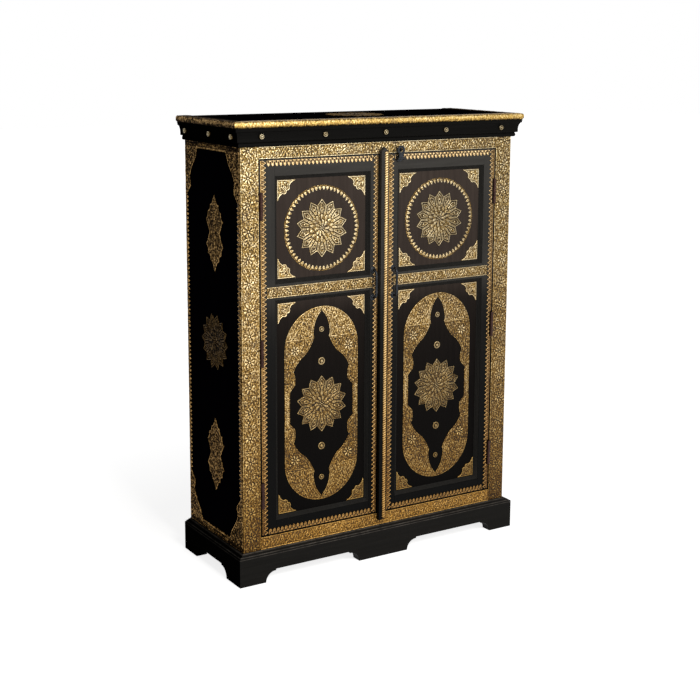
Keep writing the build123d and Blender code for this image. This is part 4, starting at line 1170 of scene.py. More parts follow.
def upright_strip(x_edge, way, width, z0, z1, notches, seed, ground=-0.9):
    """An edge strip of hollow teeth that point towards way, with a ridge along every edge."""
    depth, pitch = 10.0, 13.6
    edge = [(x_edge, z0)]
    for low, high, x in notches:
        edge += [(x_edge, low), (x, low), (x, high), (x_edge, high)]
    edge += [(x_edge, z1)]
    profile, step = teeth(z1 - z0, pitch, depth, lean=0.92)
    root = x_edge + way * (width - depth)
    tooth = np.stack([root + way * profile[:, 1], z1 - profile[:, 0]], 1)
    s = Relief([np.vstack([np.array(edge), tooth])], seed)
    u, _ = np.meshgrid(s.u, s.v)
    out = way * (u - x_edge)
    s.h = ((0.4 - ground) * bump(out - 1.2, 1.5) + ground).astype(np.float32)
    s.rim(1.9, 2.1, 1.9, out > width - depth - 1.5)
    for i in range(int(round((z1 - z0) / step))):
        z = z1 - (i + 0.5) * step
        s.leaf(root - way * 6.4, z + 0.5 * step, 0.0 if way > 0 else math.pi, 8.0, 4.4, 1.5, vein=0.0)
        s.pit(root + way * 1.2, z, 2.8, 4.2, 1.25, 0.0)
    return s.hammer((7.0, 0.12), (2.2, 0.10))


def level_strip(x0, x1, z_edge, way, width, seed):
    """A strip of drops along the top or bottom that point towards way, under a row of punched holes."""
    depth, pitch = 10.6, 13.4
    profile, step = drops(x1 - x0, pitch, depth)
    root = z_edge + way * (width - depth)
    tooth = np.stack([x0 + profile[:, 0], root + way * profile[:, 1]], 1)
    s = Relief([np.vstack([np.array([(x1, z_edge), (x0, z_edge)]), tooth])], seed)
    _, v = np.meshgrid(s.u, s.v)
    out = way * (v - z_edge)
    s.h = (1.2 * bump(out - 1.2, 1.5) - 0.6).astype(np.float32)
    for i in range(int(round((x1 - x0) / step))):
        x = x0 + (i + 0.5) * step
        s.leaf(x, z_edge + way * 7.6, way * math.pi / 2, 10.2, 9.4, 2.4, vein=0.0, base=0.40, tip=0.60,
               hollow=0.35 if way > 0 else 0.0)
        for side in (-1, 1):
            s.stroke([(x + side * step / 2, z_edge + way * 1.0), (x + side * 1.0, z_edge + way * 8.4)], 1.1, 1.1, 1.9)
        s.pit(x, z_edge + way * 3.6, 2.9, 6.0)
        s.pit(x - step / 2, z_edge + way * 7.6, 2.0, 6.0, 1.5, math.pi / 2)
    return s.hammer((7.0, 0.12))


def stile_sheet(x0, x1, z0, z1, seed):
    """A broad flower in every bay of a stile, slanting leaves round it and plain rims."""
    s = Relief([rectangle(x0, x1, z0, z1)], seed)
    mid, half = (x0 + x1) / 2, (x1 - x0) / 2
    way = math.copysign(1.0, mid)
    first, bay = 12.0, 76.3
    s.leafy(9.4, 1.35, 3.4, None, 0.85, 0.30)
    for i in range(16):
        z = z1 - first - bay * i
        if z < z0 + 14:
            break
        lean = s.random.choice((-1, 1))
        for side in (-1, 1):
            s.curl(mid + way * 4 + side * 12, z - 38 + side * 4 * lean, 7.5, side * 1.2 + s.random.uniform(-0.5, 0.5),
                   side * 0.9, 1.6, 1.8)
        s.star(mid + way * 4.5, z, 16.5, 8, 0.8, s.random.uniform(-0.15, 0.15))
    out = np.abs(s.u[None, :] - mid) + 0 * s.v[:, None]
    rim = np.clip((out - (half - 4.2)) / 1.2, 0, 1)
    s.h = (s.h * (1 - rim) + rim * (1.0 * bump(out - (half - 2.0), 2.6) - 0.1)).astype(np.float32)
    return s.hammer((9.0, 0.22), (2.8, 0.22))


def rail_sheet(x0, x1, z0, z1, seed, pitch=9.8):
    """Slanting leaves along a rail between thin plain rims."""
    rims = 2.4
    s = Relief([rectangle(x0, x1, z0, z1)], seed)
    s.leafy(pitch, 1.5, rims + 1.5, None, 0.85, 0.40)
    for x in np.arange(x0 + 20, x1 - 15, 47.0):
        u, v = x + s.random.uniform(-8, 8), (z0 + z1) / 2 + s.random.uniform(-3, 3)
        s.curl(u, v, (z1 - z0) * 0.24, s.random.uniform(0, 6.3), s.random.choice((-0.9, 0.9)), 1.5, 1.9)
    out = np.abs(s.v[:, None] - (z0 + z1) / 2) + 0 * s.u[None, :]
    full = (z1 - z0) / 2
    rim = np.clip((out - (full - rims - 0.8)) / 0.8, 0, 1)
    s.h = (s.h * (1 - rim) + rim * (1.6 * bump(out - (full - rims * 0.5), rims * 0.6) - 0.3)).astype(np.float32)
    return s.hammer((8.0, 0.20), (2.6, 0.20))


def side_border(seed, u_front, u_back):
    """The border sheet of a side: scalloped corners with a flower, toothed uprights and dotted ends."""
    mid_u = (u_front + u_back) / 2
    half_d = abs(u_front - u_back) / 2
    mid_z = (Z_CASE + Z_CORNICE) / 2
    w, h, low = 94.0, 167.0, 8.0       # width and height of a corner, and width of an upright

    def corner(strip):
        return [(w, strip), (0.88 * w, strip + 0.05 * h), (0.79 * w, 0.29 * h), (0.62 * w, 0.40 * h),
                (0.43 * w, 0.53 * h), (0.34 * w, 0.64 * h), (0.40 * w, 0.76 * h), (0.39 * w, 0.82 * h), (low, h)]

    top = [(half_d - e, Z_CORNICE - mid_z - v) for e, v in corner(16.5)]
    bottom = [(half_d - e, Z_CASE - mid_z + v) for e, v in corner(20.0)]
    run = top[-1][1] - bottom[-1][1]
    profile, step = teeth(run, 13.0, 12.0)
    edge = [(half_d - low - v, top[-1][1] - u) for u, v in profile]
    right = top[:-1] + edge + bottom[::-1][1:]
    span = 2 * right[0][0]
    fine, _ = teeth(span, 7.6, 4.5, 2)
    above = [(right[0][0] - u, right[0][1] - v) for u, v in fine]
    below = [(-right[-1][0] + u, right[-1][1] + v) for u, v in fine]
    points = np.array(right[1:-1] + below[::-1] + [(-u, v) for u, v in right[1:-1][::-1]] + above[::-1])
    window = np.stack([points[:, 0] + mid_u, points[:, 1] + mid_z], 1)
    frame_loop = rectangle(min(u_front, u_back), max(u_front, u_back), Z_CASE, Z_CORNICE)
    s = Relief([frame_loop, window], seed)
    u, v = np.meshgrid(s.u, s.v)
    out = half_d - np.abs(u - mid_u)
    s.leafy(11.0, 1.7, 3.4, lambda x, y: half_d - abs(x - mid_u) > 6 and abs(y - mid_z) > run / 2 - 8, 0.8, 0.4)
    for n, y in enumerate(np.arange(s.low[1] + 8, s.high[1] - 4, 7.6)):
        for x in np.arange(s.low[0] + 12 + 9 * (n % 2), s.high[0] - 8, 18.0):
            if s.distance(x, y) > 4:
                s.pit(x, y, 3.1, 2.8, 1.7)
    s.plain_edge(3.0, -0.3)
    s.rim(1.7, 1.8, 1.3)
    s.h = np.where(out < 6.0, 1.4 * bump(out - 3.2, 2.9) - 0.2, s.h).astype(np.float32)
    for i in range(int(round(run / step))):
        z = mid_z + top[-1][1] - (i + 0.5) * step
        for way in (-1, 1):
            x = mid_u + way * (half_d - low + 1.5)
            s.leaf(x, z, math.pi if way > 0 else 0.0, 13.0, step * 0.85, 1.9, vein=0.0, base=0.4, tip=0.7)
            s.pit(mid_u + way * (half_d - low - 2.2), z, 1.8, 2.4)
            s.pit(mid_u + way * (half_d - low + 0.6), z + step / 2, 1.4, 1.5)
    s.shade = np.where(np.abs(v - mid_z) > (Z_CORNICE - Z_CASE) / 2 - 14.0, 0.62, 1.0)
    for level in (Z_CORNICE - 8.0, Z_CASE + 10.0):
        for x in np.arange(mid_u - half_d + w + 4, mid_u + half_d - w, 9.5):
            s.clear(x, level, 4.6, -1.2)
            s.ring(x, level, 3.0, 1.6, 1.9)
    for x in (-1, 1):
        for z in (Z_CORNICE - 34, Z_CASE + 32):
            cu = mid_u + x * (half_d - 36)
            s.clear(cu, z, 13.0, 0.4)
            for n in range(8):
                t = math.pi * n / 4
                s.pit(*polar(8.4, t, cu, z), 1.9, 2.3, 1.4, t)
            s.bead(cu, z, 3.2, 1.8)
    return s.hammer((8.0, 0.16), (2.6, 0.16))


def cartouche(seed):
    """A pointed double-lobed plate with rows of small arches and a ridge along its edge."""
    a, b, h = 56.0, 32.0, 114.0        # half the width of a lobe and of the waist, and half the height
    quarter = [((0, h), None), ((0.08 * a, 0.93 * h), None), ((0.17 * a, 0.85 * h), None),
               ((0.47 * a, 0.74 * h), (0.27 * a, 0.78 * h)), ((0.50 * a, 0.63 * h), None),
               ((0.74 * a, 0.57 * h), (0.61 * a, 0.585 * h)), ((0.76 * a, 0.46 * h), None),
               ((a, 0.34 * h), (0.86 * a, 0.38 * h)), ((0.83 * a, 0.23 * h), None), ((b, 0.0), None)]
    s = Relief([four_way(quarter)], seed)
    s.h -= 0.6
    s.leafy(10.0, 1.3, 3.4, None, 0.9, 0.3)
    for v in np.arange(-0.8 * h, 0.81 * h, 15.0):
        s.leaf(0, v - 6, math.pi / 2, 17.0, 8.0, 2.0, 0.0, 0.2)
        s.pit(0, v + 9.0, 1.8, 2.0)
    s.plain_edge(3.0, -0.5)
    s.rim(1.8, 2.0, 1.5)
    return s.hammer((8.0, 0.16), (2.6, 0.16))


# ------------------------------------------------------------------ pieces
class CABINET_OT_case(bpy.types.Operator):
    """Side boards, back boards, inner boards, shelves and battens"""

    bl_idname = "cabinet.case"
    bl_label = "Case boards"
    bl_options = {"REGISTER", "UNDO"}

    def execute(self, context):
        # The side boards take the near-black side colour: painted shade.
        for side in ("left", "right"):
            board("side_panel_" + side, "side_board_" + side, "case", "side", "z", "worn")
        board("back_boards", "rear_boards", "case", "inside", "z", "worn", slot="inner_wood")
        for node in ("bottom_board", "inner_top_board", "lower_shelf", "upper_shelf", "shelf_battens"):
            grain = "y" if node == "shelf_battens" else "x"
            board(node, "inner_" + node, "case", "inside", grain, slot="inner_wood")
        return {"FINISHED"}


class CABINET_OT_front_frame(bpy.types.Operator):
    """Wooden stiles and rails behind the sheet brass of the front"""

    bl_idname = "cabinet.front_frame"
    bl_label = "Front frame"
    bl_options = {"REGISTER", "UNDO"}

    def execute(self, context):
        for node, grain in (("frame_stile_left", "z"), ("frame_stile_right", "z"), ("frame_top_rail", "x"),
                            ("frame_bottom_rail", "x")):
            board(node, "wood_" + node, "case", "frame", grain)
        return {"FINISHED"}


class CABINET_OT_plinth(bpy.types.Operator):
    """Bracket plinth with its stepped upper edge"""

    bl_idname = "cabinet.plinth"
    bl_label = "Plinth"
    bl_options = {"REGISTER", "UNDO"}

    def execute(self, context):
        for node, grain in (("plinth_front", "x"), ("plinth_left", "y"), ("plinth_right", "y"),
                            ("plinth_back", "x")):
            # The end boards take a near-black kind: painted shade.
            kind = "sooty" if grain == "y" else "base"
            board(node, node + "_board", "case", kind, grain, "rubbed", width=0.0020)
        return {"FINISHED"}


class CABINET_OT_cornice(bpy.types.Operator):
    """Moulded cornice and its ringed studs"""

    bl_idname = "cabinet.cornice"
    bl_label = "Cornice"
    bl_options = {"REGISTER", "UNDO"}

    def execute(self, context):
        for node, grain in (("cornice_front", "x"), ("cornice_left", "y"), ("cornice_right", "y")):
            # The end mouldings take a near-black kind: painted shade.
            kind = "sooty" if grain == "y" else "dark"
            board(node, node + "_moulding", "case", kind, grain, width=0.0005, degrees=40)
        low, high = limits("cornice_studs")
        z = (low[2] + high[2]) / 2
        reach = 0.9 * CORNICE_OUT
        studs = [ringed_stud(CORNICE_STUD_R, (x, FRONT - reach, z), (90, 0, 0), 4.0) for x in CORNICE_STUDS_X]
        for setback in CORNICE_STUDS_BACK:
            for side in (-1, 1):
                studs.append(ringed_stud(CORNICE_STUD_R, (side * (HALF_W + reach), FRONT + setback, z),
                                         (0, side * 90, 0), 4.0))
        gild(joined("cornice_ringed_studs", studs), "case", "cornice_studs", "antique", 0.5)
        return {"FINISHED"}


def ringed_stud(r, place, turn, sink=0.0):
    """A cast stud: rolled rim, dark channel and a domed boss."""
    t = 3.0 * max(1.0, r / 10)
    profile = [(r * 0.55, -sink), (r * 0.98, -sink), (r, 0.4), (r * 0.97, 0.28 * t), (r * 0.88, 0.42 * t),
               (r * 0.78, 0.42 * t), (r * 0.68, 0.28 * t), (r * 0.62, 0.16 * t), (r * 0.50, 0.18 * t),
               (r * 0.47, 0.45 * t), (r * 0.40, 0.72 * t), (r * 0.26, 0.92 * t), (r * 0.10, t), (0.02, t)]
    tones = (0.3, 0.3, 0.6, 0.85, 0.95, 0.95, 0.5, 0.08, 0.08, 0.5, 0.8, 0.95, 1.0, 1.0)
    around = 28
    obj = lathe("stud", profile, around, place, turn, 50)
    give_tone(obj, np.repeat(tones, around))
    return obj


class CABINET_OT_top(bpy.types.Operator):
    """Top board, its brass wrap and its rosette"""

    bl_idname = "cabinet.top"
    bl_label = "Top"
    bl_options = {"REGISTER", "UNDO"}

    def execute(self, context):
        # The top board, the end wraps and the top rosette take the dark side finishes: painted shade.
        board("top_board", "top_field", "case", "side", "x")
        for piece, kind, level in zip(self.wraps(), ("burnished", "side", "side"), (1.0, 0.75, 0.9)):
            gild(piece, "case", "top_edge_brass", kind, level, slot="polished_brass")
        piece = rosette(TOP_ROSETTE_R, 41).mesh("top_lotus", on_top(TOP_Z), base=0.35)
        gild(piece, "case", "top_rosette", "side", 0.2)
        return {"FINISHED"}

    def wraps(self):
        """Embossed sheets folded round the front and the two ends, mitred where they meet."""
        low, high = limits("top_edge_brass")
        x, y0, y1, z0, z1 = high[0], low[1], high[1], low[2], high[2]
        over, under, r, thick = 42.0, 14.0, 7.0, 1.5
        quarter = r * math.pi / 2
        spans = np.cumsum([0.0, under - r, quarter, z1 - z0 - 2 * r, quarter, over - r])

        def folded(v):
            """Distance in from the edge and height of a point across the sheet, and the way out of it."""
            v = np.asarray(v, float)
            a, b = (v - spans[1]) / r, (v - spans[3]) / r
            inward = np.select([v < spans[1], v < spans[2], v < spans[3], v < spans[4]],
                               [under - v, r - r * np.sin(a), 0 * v, r - r * np.cos(b)], r + v - spans[4])
            height = np.select([v < spans[1], v < spans[2], v < spans[3], v < spans[4]],
                               [z0 + 0 * v, z0 + r - r * np.cos(a), z0 + r + v - spans[2],
                                z1 - r + r * np.sin(b)], z1 + 0 * v)
            turn = np.select([v < spans[1], v < spans[2], v < spans[3], v < spans[4]],
                             [-math.pi / 2 + 0 * v, a - math.pi / 2, 0 * v, b], math.pi / 2 + 0 * v)
            return inward, height, np.cos(turn), np.sin(turn)

        stations = np.concatenate([[0.0], np.linspace(spans[1], spans[2], 5), np.linspace(spans[3], spans[4], 5),
                                   [spans[5]]])
        inner = folded(stations)[0]
        pieces = []
        for name, half, seed in (("front", x, 61), ("left", (y1 - y0) / 2, 62), ("right", (y1 - y0) / 2, 63)):
            one = [(-half + i, v) for i, v in zip(inner, stations)]
            if name == "front":
                far = [(half - i, v) for i, v in zip(inner, stations)]
            else:
                far = [(half, stations[0]), (half, stations[-1])]
            s = Relief([np.array(far + one[::-1])], seed)
            s.leafy(10.0, 0.9, 2.0, None, 0.8, 0.25)
            s.h = (s.h * 0.50).astype(np.float32)
            s.hammer((7.0, 0.22))
            across = s.v[:, None] + 0 * s.u[None, :]
            # Painted highlight on the front of the fold and painted shade on its underside and over its upper face.
            s.shade = np.interp(across, (spans[1], spans[2] - 2, spans[2] + 3, spans[3] + 3, spans[4] - 2, spans[5]),
                                (0.45, 0.95, 1.45, 1.60, 0.95, 0.16))
            fill = [(u, v) for v in np.concatenate([np.linspace(spans[1], spans[2], 4), [spans[2] + 6],
                                                    np.linspace(spans[3], spans[4], 4), [spans[4] + 18]])
                    for u in np.arange(-half + 46, half - 46, 12.0)]

            def place(u, v, h):
                inward, height, side, up = folded(v)
                away, level = -inward + side * (h - thick), height + up * (h - thick)
                if name == "front":
                    return u, y0 - away, level
                middle = (y0 + y1) / 2
                if name == "left":
                    return -x - away, middle - u, level
                return x + away, middle + u, level

            if name == "left":
                s.mirror()
                fill = [(-u, v) for u, v in fill]
            pieces.append(s.mesh(f"top_wrap_{name}", place, 1.25, base=thick, fill=fill, edge=0.9 * thick))
        return pieces


class CABINET_OT_frame_brass(bpy.types.Operator):
    """Embossed sheets on the stiles and rails of the front"""

    bl_idname = "cabinet.frame_brass"
    bl_label = "Front sheets"
    bl_options = {"REGISTER", "UNDO"}

    def execute(self, context):
        place = on_front(FRONT)
        sheets = []
        for side, seed in ((-1, 3), (1, 4)):
            x0, x1 = sorted((side * HALF_W, side * (OPEN_HALF + 0.5)))
            sheets.append(stile_sheet(x0, x1, Z_CASE, Z_CORNICE, seed).mesh(f"stile_sheet_{seed}", place, 1.08))
        for z0, z1, seed in ((Z_CASE, OPEN_BOTTOM, 5), (OPEN_TOP, Z_CORNICE, 6)):
            sheet = rail_sheet(-OPEN_HALF, OPEN_HALF, z0, z1, seed)
            under = np.abs(sheet.u[None, :]) < COVERED_HALF
            sheet.h = np.where(under, np.minimum(sheet.h, 0.9), sheet.h).astype(np.float32)
            sheets.append(sheet.mesh(f"rail_sheet_{seed}", place, 1.0))
        for sheet, name in zip(sheets, ("left", "right", "bottom", "top")):
            sheet.name = f"front_sheet_{name}"
            kind, level = ("burnished", 0.88) if name == "bottom" else ("antique", 1.0)
            gild(sheet, "case", "front_frame_brass", kind, level)
        return {"FINISHED"}


class CABINET_OT_side_brass(bpy.types.Operator):
    """Border sheets, cartouches and rosettes on the sides"""

    bl_idname = "cabinet.side_brass"
    bl_label = "Side sheets"
    bl_options = {"REGISTER", "UNDO"}

    def execute(self, context):
        mid_y, mid_z = (FRONT + BACK) / 2, (Z_CASE + Z_CORNICE) / 2
        for side, place, sign, seed in (("left", on_left(-HALF_W), -1, 11), ("right", on_right(HALF_W), 1, 21)):
            s = side_border(seed, sign * FRONT, sign * BACK)
            # The side sheets take the side kind of brass: painted shade.
            gild(s.mesh(f"side_border_{side}", place, 1.15), "case", f"side_border_brass_{side}", "side")
            plates = []
            for off, ahead in CARTOUCHES:
                s = cartouche(seed + 1 + (off > 0))
                shift = shifted(place, sign * (mid_y - ahead), mid_z + off)
                plates.append(s.mesh("cartouche", shift, 1.1))
            s = rosette(SIDE_ROSETTE_R, seed + 5, 0.8, math.pi / 2 + math.pi / PETALS)
            ahead, up = SIDE_ROSETTE_AT
            lotus = s.mesh(f"side_lotus_{side}", shifted(place, sign * (mid_y - ahead), mid_z + up), 1.1)
            # The plates and the rosette of a side are darkened further: painted shade.
            for piece, level in ((joined(f"side_plates_{side}", plates), 0.85), (lotus, 0.22)):
                gild(piece, "case", f"side_medallions_{side}", "side", level)
        return {"FINISHED"}


def shifted(place, du, dv):
    return lambda u, v, h: place(u + du, v + dv, h)


class CABINET_OT_door_wood(bpy.types.Operator):
    """Stiles, rails, panels and stepped mouldings of the doors"""

    bl_idname = "cabinet.door_wood"
    bl_label = "Door boards"
    bl_options = {"REGISTER", "UNDO"}

    def execute(self, context):
        for door in DOORS:
            for part, grain, kind, width in (("hinge_stile", "z", "frame", 0.0011),
                                             ("meeting_stile", "z", "frame", 0.0011),
                                             ("rails", "x", "frame", 0.0006),
                                             ("panels", "z", "panel", 0.0006),
                                             ("mouldings", "z", "mould", 0.0015)):
                node = f"{door.name}_{part}"
                # Edges in the pale edge kinds: rubbed wood that also carries painted highlights.
                edge = {"panels": "panel", "mouldings": "rubbed"}.get(part, "worn")
                slot = "panel_wood" if part == "panels" else "black_wood"
                board(node, node + "_wood", door.name, kind, grain, edge, slot, width=width)
        return {"FINISHED"}


class CABINET_OT_door_edges(bpy.types.Operator):
    """Toothed edge strips and the middle band of each door"""

    bl_idname = "cabinet.door_edges"
    bl_label = "Door edge strips"
    bl_options = {"REGISTER", "UNDO"}

    def execute(self, context):
        place = on_front(FRONT)
        z0, z1 = LEAF_BOTTOM + STRIP_EDGE, LEAF_TOP - STRIP_EDGE
        for n, door in enumerate(DOORS):
            seed = 50 + 10 * n
            hinge_edge = door.hinge - door.side * STRIP_EDGE
            knuckle = door.side * (OPEN_HALF - PIN_IN - KNUCKLE_R - 1.0)
            reach = HINGE_HALF + 1.0
            notches = [(z - reach, z + reach, knuckle) for z in HINGE_Z]
            free_edge = door.brass[0] if door.side > 0 else door.brass[1]
            strips = [upright_strip(hinge_edge, -door.side, HINGE_STRIP, z0, z1, notches, seed),
                      upright_strip(free_edge, door.side, MEETING_STRIP, z0, z1, [], seed + 1, -1.9)]
            a, b = sorted((hinge_edge - door.side * (HINGE_STRIP + 0.5),
                           free_edge + door.side * (MEETING_STRIP + 0.5)))
            strips.append(level_strip(a, b, z0, 1, LEVEL_STRIP, seed + 2))
            strips.append(level_strip(a, b, z1, -1, LEVEL_STRIP, seed + 3))
            meshes = [s.mesh("strip", place, 0.82) for s in strips]
            mid = sum(MIDDLE_RAIL) / 2
            band = rail_sheet(a, b, mid - BAND_HALF, mid + BAND_HALF, seed + 4, 9.4)
            band = band.mesh(f"{door.name}_band", place, 0.95)
            for piece, kind in ((joined(f"{door.name}_edge_strips", meshes), "rose"), (band, "antique")):
                gild(piece, door.name, f"{door.name}_edge_brass", kind, 0.9)
        return {"FINISHED"}


class CABINET_OT_corner_pieces(bpy.types.Operator):
    """Leafy corner pieces of the door panels"""

    bl_idname = "cabinet.corner_pieces"
    bl_label = "Corner pieces"
    bl_options = {"REGISTER", "UNDO"}

    def execute(self, context):
        inset = MOULDING + 1.5
        for n, door in enumerate(DOORS):
            xa, xb = door.panel
            pieces = []
            for low, high in (LOWER_PANEL, UPPER_PANEL):
                for x, z, turn in ((xa + inset, low + inset, 0), (xb - inset, low + inset, 1),
                                   (xb - inset, high - inset, 2), (xa + inset, high - inset, 3)):
                    s = corner_piece(CORNER, turn, 100 + 20 * n + len(pieces))
                    pieces.append(s.mesh("corner", shifted(on_front(PANEL_FACE), x, z), 0.9))
            gild(joined(f"{door.name}_corner_leaves", pieces), door.name, f"{door.name}_corner_pieces", "antique")
        return {"FINISHED"}


# Painted light and shade on the rosettes: how light they are, on the left and the right door: the upper ones, then
# the lower ones.
ROSETTE_LIGHT = ((0.84, 0.64), (0.72, 0.60))
ROSETTE_GROUND = (-0.8, -2.6)


class CABINET_OT_medallions(bpy.types.Operator):
    """Ring of drops and lotus rosettes of each door"""

    bl_idname = "cabinet.medallions"
    bl_label = "Medallions"
    bl_options = {"REGISTER", "UNDO"}

    def execute(self, context):
        upper = sum(UPPER_PANEL) / 2 - ROSETTE_LOWERED
        for n, door in enumerate(DOORS):
            place = shifted(on_front(PANEL_FACE), door.middle, upper)
            pieces = [(ring_of_drops(PLATE_HALF_W, 140 + n).mesh(f"{door.name}_ring", place, 0.85), 1.0)]
            for k, z in enumerate((upper, LOWER_MIDDLE)):
                s = rosette(ROSETTE_R, 150 + 3 * n + k, ground=ROSETTE_GROUND[k])
                piece = s.mesh(f"{door.name}_lotus_{k}", shifted(on_front(PANEL_FACE), door.middle, z), 0.85)
                pieces.append((piece, ROSETTE_LIGHT[k][n]))
            for piece, level in pieces:
                gild(piece, door.name, f"{door.name}_medallions", "antique", level)
        return {"FINISHED"}


class CABINET_OT_arch_plates(bpy.types.Operator):
    """Round-ended plates with their ogee openings"""

    bl_idname = "cabinet.arch_plates"
    bl_label = "Arch plates"
    bl_options = {"REGISTER", "UNDO"}

    def execute(self, context):
        for n, door in enumerate(DOORS):
            s = arch_plate(PLATE_HALF_W, PLATE_HALF_H, 160 + n)
            obj = s.mesh(f"{door.name}_arch", shifted(on_front(PANEL_FACE), door.middle, LOWER_MIDDLE), 1.0)
            gild(obj, door.name, f"{door.name}_arch_plate", "antique")
        return {"FINISHED"}


class CABINET_OT_studs(bpy.types.Operator):
    """Ringed studs in the ogee openings"""

    bl_idname = "cabinet.studs"
    bl_label = "Studs"
    bl_options = {"REGISTER", "UNDO"}

    def execute(self, context):
        for door in DOORS:
            studs = [ringed_stud(r, (door.middle, PANEL_FACE, LOWER_MIDDLE + way * up), (90, 0, 0))
                     for up, r in PANEL_STUDS for way in (-1, 1)]
            gild(joined(f"{door.name}_ringed_studs", studs), door.name, f"{door.name}_studs", "antique", 0.55)
        return {"FINISHED"}


def tube(name, points, radii, segments):
    """A round bar along points with a radius at each, closed at both ends."""
    points = np.asarray(points, float)
    tangents = np.gradient(points, axis=0)
    tangents /= np.linalg.norm(tangents, axis=1)[:, None]
    side = np.array([1.0, 0, 0]) if abs(tangents[0][0]) < 0.9 else np.array([0, 0, 1.0])
    skin = []
    for p, t, r in zip(points, tangents, radii):
        a = side - t * np.dot(side, t)
        a /= np.linalg.norm(a)
        b = np.cross(t, a)
        side = a
        for k in range(segments):
            q = 2 * math.pi * k / segments
            skin.append(p + r * (math.cos(q) * a + math.sin(q) * b))
    return mesh_object(name, skin, ring_faces(len(points), segments), 50)


class CABINET_OT_handles(bpy.types.Operator):
    """Forged pulls"""

    bl_idname = "cabinet.handles"
    bl_label = "Pulls"
    bl_options = {"REGISTER", "UNDO"}

    def execute(self, context):
        for door in DOORS:
            low, high = limits(f"{door.name}_handle")
            x = (low[0] + high[0]) / 2
            thick, plate, bend = 4.2, 10.0, 13.0      # half the bar, and the radius of its plates and bends
            y_root, y_bar = high[1], low[1] + thick
            za, zb = high[2] - plate, low[2] + plate
            turns = [math.pi / 2 * k / 8 for k in range(9)]
            line = [(x, y_root, za), (x, y_bar + bend, za)]
            line += [(x, y_bar + bend - bend * math.sin(t), za - bend + bend * math.cos(t)) for t in turns[1:]]
            line += [(x, y_bar, z) for z in np.linspace(za - bend, zb + bend, 24)[1:-1]]
            line += [(x, y_bar + bend - bend * math.cos(t), zb + bend - bend * math.sin(t)) for t in turns]
            line.append((x, y_root, zb))
            radii = []
            for p in line:
                mid = abs(p[2] - (za + zb) / 2) / ((za - zb) / 2)
                radii.append(4.1 - 0.55 * mid**2 + (0.5 if abs(mid - 0.55) < 0.06 else 0.0))
            parts = [tube("bar", line, radii, 16)]
            for z in (za, zb):
                profile = [(3.0, 0.0), (9.9, 0.0), (10.0, 0.8), (9.2, 1.8), (7.2, 2.4), (6.4, 2.3), (6.0, 3.4),
                           (5.0, 4.4), (3.2, 4.8)]
                parts.append(lathe("plate", profile, 24, (x, y_root, z), (90, 0, 0), 45))
            settle(joined(f"{door.name}_pull", parts), door.name, f"{door.name}_handle",
                   (iron_finish("black"),))
        return {"FINISHED"}


class CABINET_OT_hinges(bpy.types.Operator):
    """Butt hinges: frame leaves and pins on the case, middle knuckles on the doors"""

    bl_idname = "cabinet.hinges"
    bl_label = "Hinges"
    bl_options = {"REGISTER", "UNDO"}

    def execute(self, context):
        for node, body in (("hinge_frame_leaves", "case"), ("left_door_hinge_leaves", "left_door"),
                           ("right_door_hinge_leaves", "right_door")):
            piece = copy_of(node, node + "_iron", 0.0003, 35)
            settle(piece, body, node, (iron_finish("brown"),) * 2)
        profile = [(0.3, -HINGE_HALF - 0.6), (2.0, -HINGE_HALF - 0.3), (2.35, -HINGE_HALF + 0.2),
                   (2.35, HINGE_HALF - 0.2), (2.0, HINGE_HALF + 0.3), (0.3, HINGE_HALF + 0.6)]
        pins = [lathe("pin", profile, 16, (side * (OPEN_HALF - PIN_IN), FRONT - PIN_OUT, z))
                for side in (-1, 1) for z in HINGE_Z]
        settle(joined("hinge_pin_rods", pins), "case", "hinge_pins", (iron_finish("brown"),))
        return {"FINISHED"}


class CABINET_OT_astragal(bpy.types.Operator):
    """Cover strip of the meeting line and its roped brass rod"""

    bl_idname = "cabinet.astragal"
    bl_label = "Astragal"
    bl_options = {"REGISTER", "UNDO"}

    def execute(self, context):
        board("astragal", "meeting_cover", "right_door", "frame", "z", "worn", width=0.0010)
        low, high = limits("astragal_rod")
        r, tall = (high[0] - low[0]) / 2, high[2] - low[2]
        lead, around = 14.6, 24
        levels = np.arange(0.0, tall + 0.01, tall / 1500)
        points, tone = [], []
        for z in levels:
            for k in range(around):
                a = 2 * math.pi * k / around
                swell = abs(math.sin(a - math.pi * z / (lead / 2))) ** 0.7
                size = (r + 0.3) * (0.84 + 0.16 * swell) * (0.3 if z in (levels[0], levels[-1]) else 1.0)
                points.append((*polar(size, a), z))
                tone.append(0.10 + 0.90 * swell)
        centre = np.array([(low[0] + high[0]) / 2, (low[1] + high[1]) / 2, low[2]])
        rod = mesh_object("roped_rod", np.array(points) + centre, ring_faces(len(levels), around), 70)
        give_tone(rod, tone)
        gild(rod, "right_door", "astragal_rod", "rose", 1.15)
        return {"FINISHED"}


class CABINET_OT_hasp(bpy.types.Operator):
    """Hasp, its foot and the staple it closes on"""

    bl_idname = "cabinet.hasp"
    bl_label = "Hasp"
    bl_options = {"REGISTER", "UNDO"}

    def execute(self, context):
        middle = sum(corner[0] for corner in limits("hasp")) / 2 * MM
        for node, body in (("hasp_foot", "right_door"), ("hasp", "hasp_strap"), ("hasp_staple", "case")):
            piece = copy_of(node, node + "_iron", 0.0005, 35)
            for vertex in piece.data.vertices:
                vertex.co.x = middle + (vertex.co.x - middle) * HASP_WIDER
            settle(piece, body, node, (iron_finish("black"),) * 2)
        return {"FINISHED"}


# ------------------------------------------------------------------ stage
TARGET = (0.0, 0.0, 0.68)
